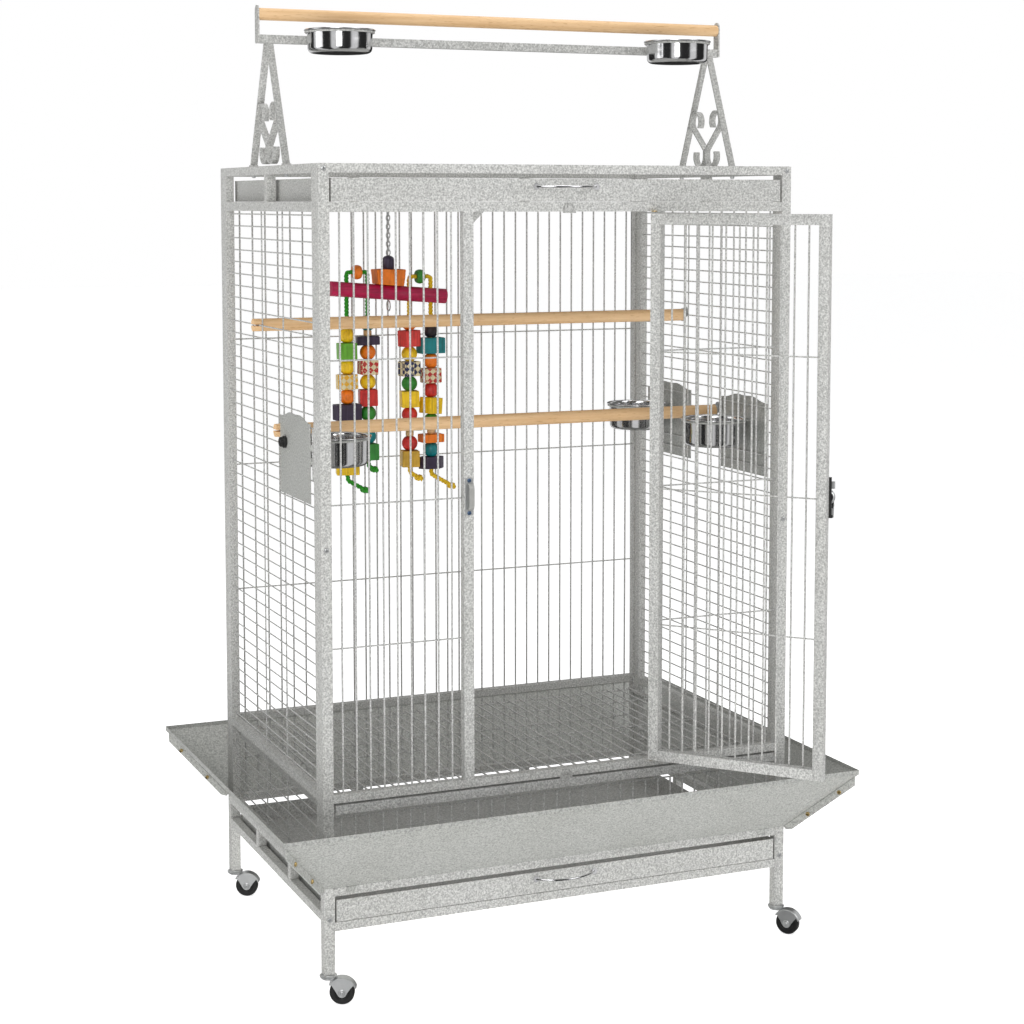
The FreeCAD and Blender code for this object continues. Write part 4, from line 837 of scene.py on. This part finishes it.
def build_lock():
    """Black backplate, plated housings and rivets on the door; a domed hub with a cranked lever turns on it."""
    z, x0, x1, face, front = LOCK_Z, LOCK_LEFT, LOCK_RIGHT, FRONT_Y, (0, -1, 0)
    mid = (x0 + x1) / 2
    plate = Form(swung).block((x0 + 3, face - 4.0, z - 36), (x1, face, z + 36))
    plate.lathe([(5, 0), (11.6, 0), (11.6, 3.2), (10.6, 4), (5, 4)], (LOCK_X, face - 3.8, z), front, 40)
    plate.piece("lock_plate", "door", "lock_zinc", DARK_ZINC, ["door_lock"], 1.0, 3)
    housing = Form(swung).block((x0 - 1.5, face - 9.5, z + 15.5), (x1 - 4, face - 3.8, z + 28))
    housing.block((x0 - 0.5, face - 7.0, z - 31), (x1 - 6, face - 3.8, z - 19))
    for dz in (-12.8, 33.0):
        rivet = [(0, 0), (2.4, 0), (2.3, 0.8), (1.3, 1.3), (0, 1.4)]
        housing.lathe(rivet, (mid + 6, face - 3.9, z + dz), front, 20)
    housing.piece("lock_housing", "door", "zinc", ZINC, ["door_lock"], 1.2, 3)
    spindle = Form(swung).lathe([(0, 0), (4, 0), (4, 9.3), (0, 9.3)], (LOCK_X, face + 0.6, z), front, 24)
    spindle.piece("lever_spindle", "door_latch", "zinc", ZINC, ["door_lever"], 0.3, 2)
    dome = [(0, 0), (13, 0), (14.2, 0.8), (14.2, 3.6), (13.0, 5.2), (10.4, 6), (9.2, 8), (7.6, 9.6),
            (4, 10.8), (0, 11.2)]
    hub = Form(swung).lathe(dome, (LOCK_X, face - 8.4, z), front, 40)
    hub.piece("lever_hub", "door_latch", "zinc", ZINC, ["door_lever"], 0.3, 2)
    side = [(-17, 2), (-19.5, -6), (-18.5, -13), (-13.5, -22), (-11.5, -37), (-9.3, -37.5), (-10.2, -22),
            (-14.6, -12), (-12, -4), (-10, 2)]
    lever = Form(swung).prism([(-165.0, face + dy, z + dz) for dy, dz in side], (14.5, 0, 0))
    lever.piece("lever_grip", "door_latch", "black_plastic", BLACK, ["door_lever"], 0.8, 3)
    edge = ((-15.6, -13), (-13.5, -20), (-12.2, -36), (-9.6, -36), (-10.8, -21), (-12.8, -13))
    rim = Form(swung).prism([(-166.7, face + dy, z + dz) for dy, dz in edge], (1.8, 0, 0))
    rim.piece("lever_trim", "door_latch", "zinc", ZINC, ["door_lever"], 0.4, 2)


def build_keeper():
    """A screwed strip on the door post with a bowed bridge that the latch slides behind."""
    x, face, low = -186.0, FRONT_Y, LOCK_Z - 33
    strip = Form().block((x - 7, face - 1.2, low), (x + 7, face, low + 66))
    strip.piece("keeper_strip", "cage", "zinc", ZINC, ["door_keeper"], 0.5, 2)
    foot, rise = low + 9, [math.radians(a) for a in range(0, 91, 15)]
    outer = [(-1.1 - 8.9 * math.sin(a), foot + 12 * (1 - math.cos(a))) for a in rise]
    outer += [(y, LOCK_Z + (LOCK_Z - z)) for y, z in reversed(outer)]
    inner = [(min(y + 1.7, -1.1), z + (1.2 if z < LOCK_Z else -1.2)) for y, z in outer]
    rows = outer + inner[::-1]
    bridge = Form().prism([(x - 3, face + y, z) for y, z in rows], (9.8, 0, 0))
    bridge.piece("keeper_bridge", "cage", "powder_coat", KEEPER, ["door_keeper"], 0.35, 2)
    heads = Form()
    for z in (low + 4.2, low + 61.8):
        pan_head(heads, x, face - 1.2, z, (0, -1, 0), 7.4, 2.2, 0.6)
    heads.piece("keeper_screws", "cage", "zinc", BLUE_ZINC, ["door_keeper"], 0.15, 2, 30)


def build_knobs():
    """Feeder knobs: a broad skirt, a smaller fluted cap and the latch blade inside."""
    for tag, sx, sy in FEEDERS:
        y, z, x = sy * 98, 962, sx * 453.5
        knob = Form()
        knob.lathe([(0, 0), (10.8, 0), (11, 0.4), (11, 4.6), (10.2, 5.4), (8.2, 5.8), (7.9, 10.8), (6.8, 11.8),
                    (2.6, 12), (1.8, 11.2), (0, 11.2)], (x, y, z), (sx, 0, 0), 48)
        for k in range(12):
            turn = 2 * math.pi * k / 12
            knob.lathe([(0, 5.6), (0.9, 5.6), (0.9, 10.6), (0, 10.9)],
                       (x, y + 7.9 * math.cos(turn), z + 7.9 * math.sin(turn)), (sx, 0, 0), 8)
        knob.piece("knob_grip_" + tag, "knob_" + tag, "black_plastic", BLACK, ["feeder_knob_" + tag], 0.4, 2)
        inner = Form().lathe([(0, 0), (3.8, 0), (3.8, 9.3), (0, 9.3)], (sx * 446, y, z), (sx, 0, 0), 24)
        outline = [(-4, 4), (-2, 5.5), (2, 5.5), (4, 4), (3.6, -22), (1.6, -26), (-1.6, -26), (-3.6, -22)]
        inner.prism([(sx * 446, y + dy, z + dz) for dy, dz in outline], (-1.5 * sx, 0, 0))
        inner.piece("knob_latch_" + tag, "knob_" + tag, "zinc", ZINC, ["feeder_knob_" + tag], 0.3, 2)


# ---------------------------------------------------------------- casters

# side, front or rear, and the way each caster trails, in degrees
CASTERS = {"front_left": (-1, -1, -23), "front_right": (1, -1, -50), "rear_left": (-1, 1, -25),
           "rear_right": (1, 1, -35)}


def build_casters():
    """Pressed zinc forks with a rounded hood and teardrop cheeks, race discs, and black wheels."""
    trail, wheel_r, half = 24.0, 22.0, 7.5
    for tag, (sx, sy, aim) in CASTERS.items():
        lx, ly = sx * POST_X, sy * POST_Y
        turn = Matrix.Rotation(math.radians(aim), 3, "Z")

        def aimed(p, lx=lx, ly=ly, turn=turn):
            return turn @ p + Vector((lx, ly, 0))

        axle = (trail, 0, wheel_r)
        fork = Form(aimed)
        fork.lathe([(0, 47.3), (13.6, 47.3), (14.5, 48.1), (14.5, 49.2), (13.4, 49.7), (0, 49.7)], (0, 0, 0))
        fork.lathe([(5, 44.9), (11.6, 44.9), (12.6, 46.0), (12.6, 47.4), (5, 47.4)], (0, 0, 0))
        hood_r, hood_half = wheel_r + 3.4, half + 2.3
        path = arc((trail, wheel_r), hood_r, 148, 18, 18)
        rows = [(-hood_half, 0.0), (-hood_half, 1.9), (-hood_half + 1.6, 3.0), (hood_half - 1.6, 3.0),
                (hood_half, 1.9), (hood_half, 0.0), (hood_half - 1.5, 0.0), (hood_half - 1.9, 1.4),
                (-hood_half + 1.9, 1.4), (-hood_half + 1.5, 0.0)]
        points, faces, count = [], [], len(rows)
        for x, z in path:
            out = Vector((x - trail, 0, z - wheel_r)).normalized()
            for across, up in rows:
                spot = Vector((x, across, z)) + out * (up - 1.6)
                spot.z = min(spot.z, 48.6)
                points.append(tuple(spot))
        for i in range(len(path) - 1):
            a, b = i * count, (i + 1) * count
            faces += [(a + k, a + (k + 1) % count, b + (k + 1) % count, b + k) for k in range(count)]
        faces += [tuple(range(count))[::-1], tuple(range((len(path) - 1) * count, len(path) * count))]
        fork.add(points, faces)
        for side in (-1, 1):
            y = side * (half + 0.7)
            edge = [(trail - 17, wheel_r + 12), (trail - 12, wheel_r + 4), (trail - 8, wheel_r - 3)]
            edge += arc((trail, wheel_r - 0.5), 8.0, 200, 340, 8)
            edge += [(trail + 9.5, wheel_r), (trail + 14.5, wheel_r + 7), (trail + 19, wheel_r + 12)]
            edge += [(x, min(z, 46.5)) for x, z in arc((trail, wheel_r), hood_r - 0.8, 36, 142, 12)]
            fork.prism([(x, y, z) for x, z in edge], (0, side * 1.5, 0))
            fork.lathe([(0, 0), (6.6, 0), (6.3, 0.9), (5.2, 1.5), (3.4, 1.6), (3.2, 2.8), (2.2, 3.4), (0, 3.5)],
                       (trail, side * (half + 2.1), wheel_r), (0, side, 0), 28)
        fork.lathe([(0, -half - 2), (2.4, -half - 2), (2.4, half + 2), (0, half + 2)], axle, (0, 1, 0), 20)
        fork.piece("fork_" + tag, "caster_" + tag, "zinc", ZINC, ["caster_fork_" + tag], 0.5, 2, 30)
        wheel = Form(aimed)
        near = [(2.5, -half), (5, -half), (5.4, -6.2), (12.5, -6.2), (13.2, -half + 0.2),
                (19.5, -half + 0.2), (21.2, -half + 1.4), (wheel_r, -4.6)]
        far = [(radius, -height) for radius, height in reversed(near)]
        wheel.lathe(near + far, axle, (0, 1, 0), 56)
        wheel.piece("wheel_" + tag, "wheel_" + tag, "caster_tyre", TYRE, ["caster_wheel_" + tag], 0.5, 2, 30)
        plate = Form(lambda p, lx=lx, ly=ly: p + Vector((lx, ly, 0)))
        plate.lathe([(0, 50), (14.6, 50), (15.5, 50.7), (15.5, 51.5), (12.4, 52.1), (12.0, 53.0), (0, 53.0)],
                    (0, 0, 0))
        plate.piece("race_" + tag, "cage", "zinc", ZINC, ["caster_plates"], 0.2, 2, 30)


# ---------------------------------------------------------------- fasteners

def pan_head(form, x, y, z, aim, head, proud, slot_turn):
    """A domed screw head with a cross recess, standing on a face."""
    r = head / 2
    form.lathe([(0, -0.1), (r, -0.1), (r, proud * 0.3), (r * 0.9, proud * 0.7), (r * 0.62, proud * 0.97),
                (r * 0.44, proud), (r * 0.36, proud * 0.55), (0, proud * 0.4)], (x, y, z), aim, 24)
    first, second = basis(aim)
    out = Vector(aim).normalized()
    for turn in (slot_turn, slot_turn + math.pi / 2):
        along = first * math.cos(turn) + second * math.sin(turn)
        across = out.cross(along)
        centre = Vector((x, y, z)) + out * proud * 0.78
        corners = [centre + along * a * r * 0.16 + across * b * r * 0.4
                   for a, b in ((-1, -1), (1, -1), (1, 1), (-1, 1))]
        form.prism(corners, out * proud * 0.1)


def build_screws():
    heads = Form()
    for sx in (-1, 1):
        for z in (152, 798, 1446.5):
            for sy in (-1, 1):
                pan_head(heads, sx * POST_X, -sy * FRONT_Y, z, (0, sy, 0), 9, 2.4, CHANCE.uniform(0, 1.5))
        for y in (-105, 105):
            heads.lathe([(0, 0), (4, 0), (4, 3.4), (2.2, 5), (0, 5)], (sx * 449, y, 1439), (0, 0, -1), 6)
    heads.piece("frame_screw_heads", "cage", "zinc", ZINC, ["frame_screws"], 0.15, 2, 30)


make_camera()
make_studio()
dress_frame()
string_toy(hang_forms())
build_toy_head()
build_bowls()
build_lock()
build_keeper()
build_knobs()
build_casters()
build_screws()
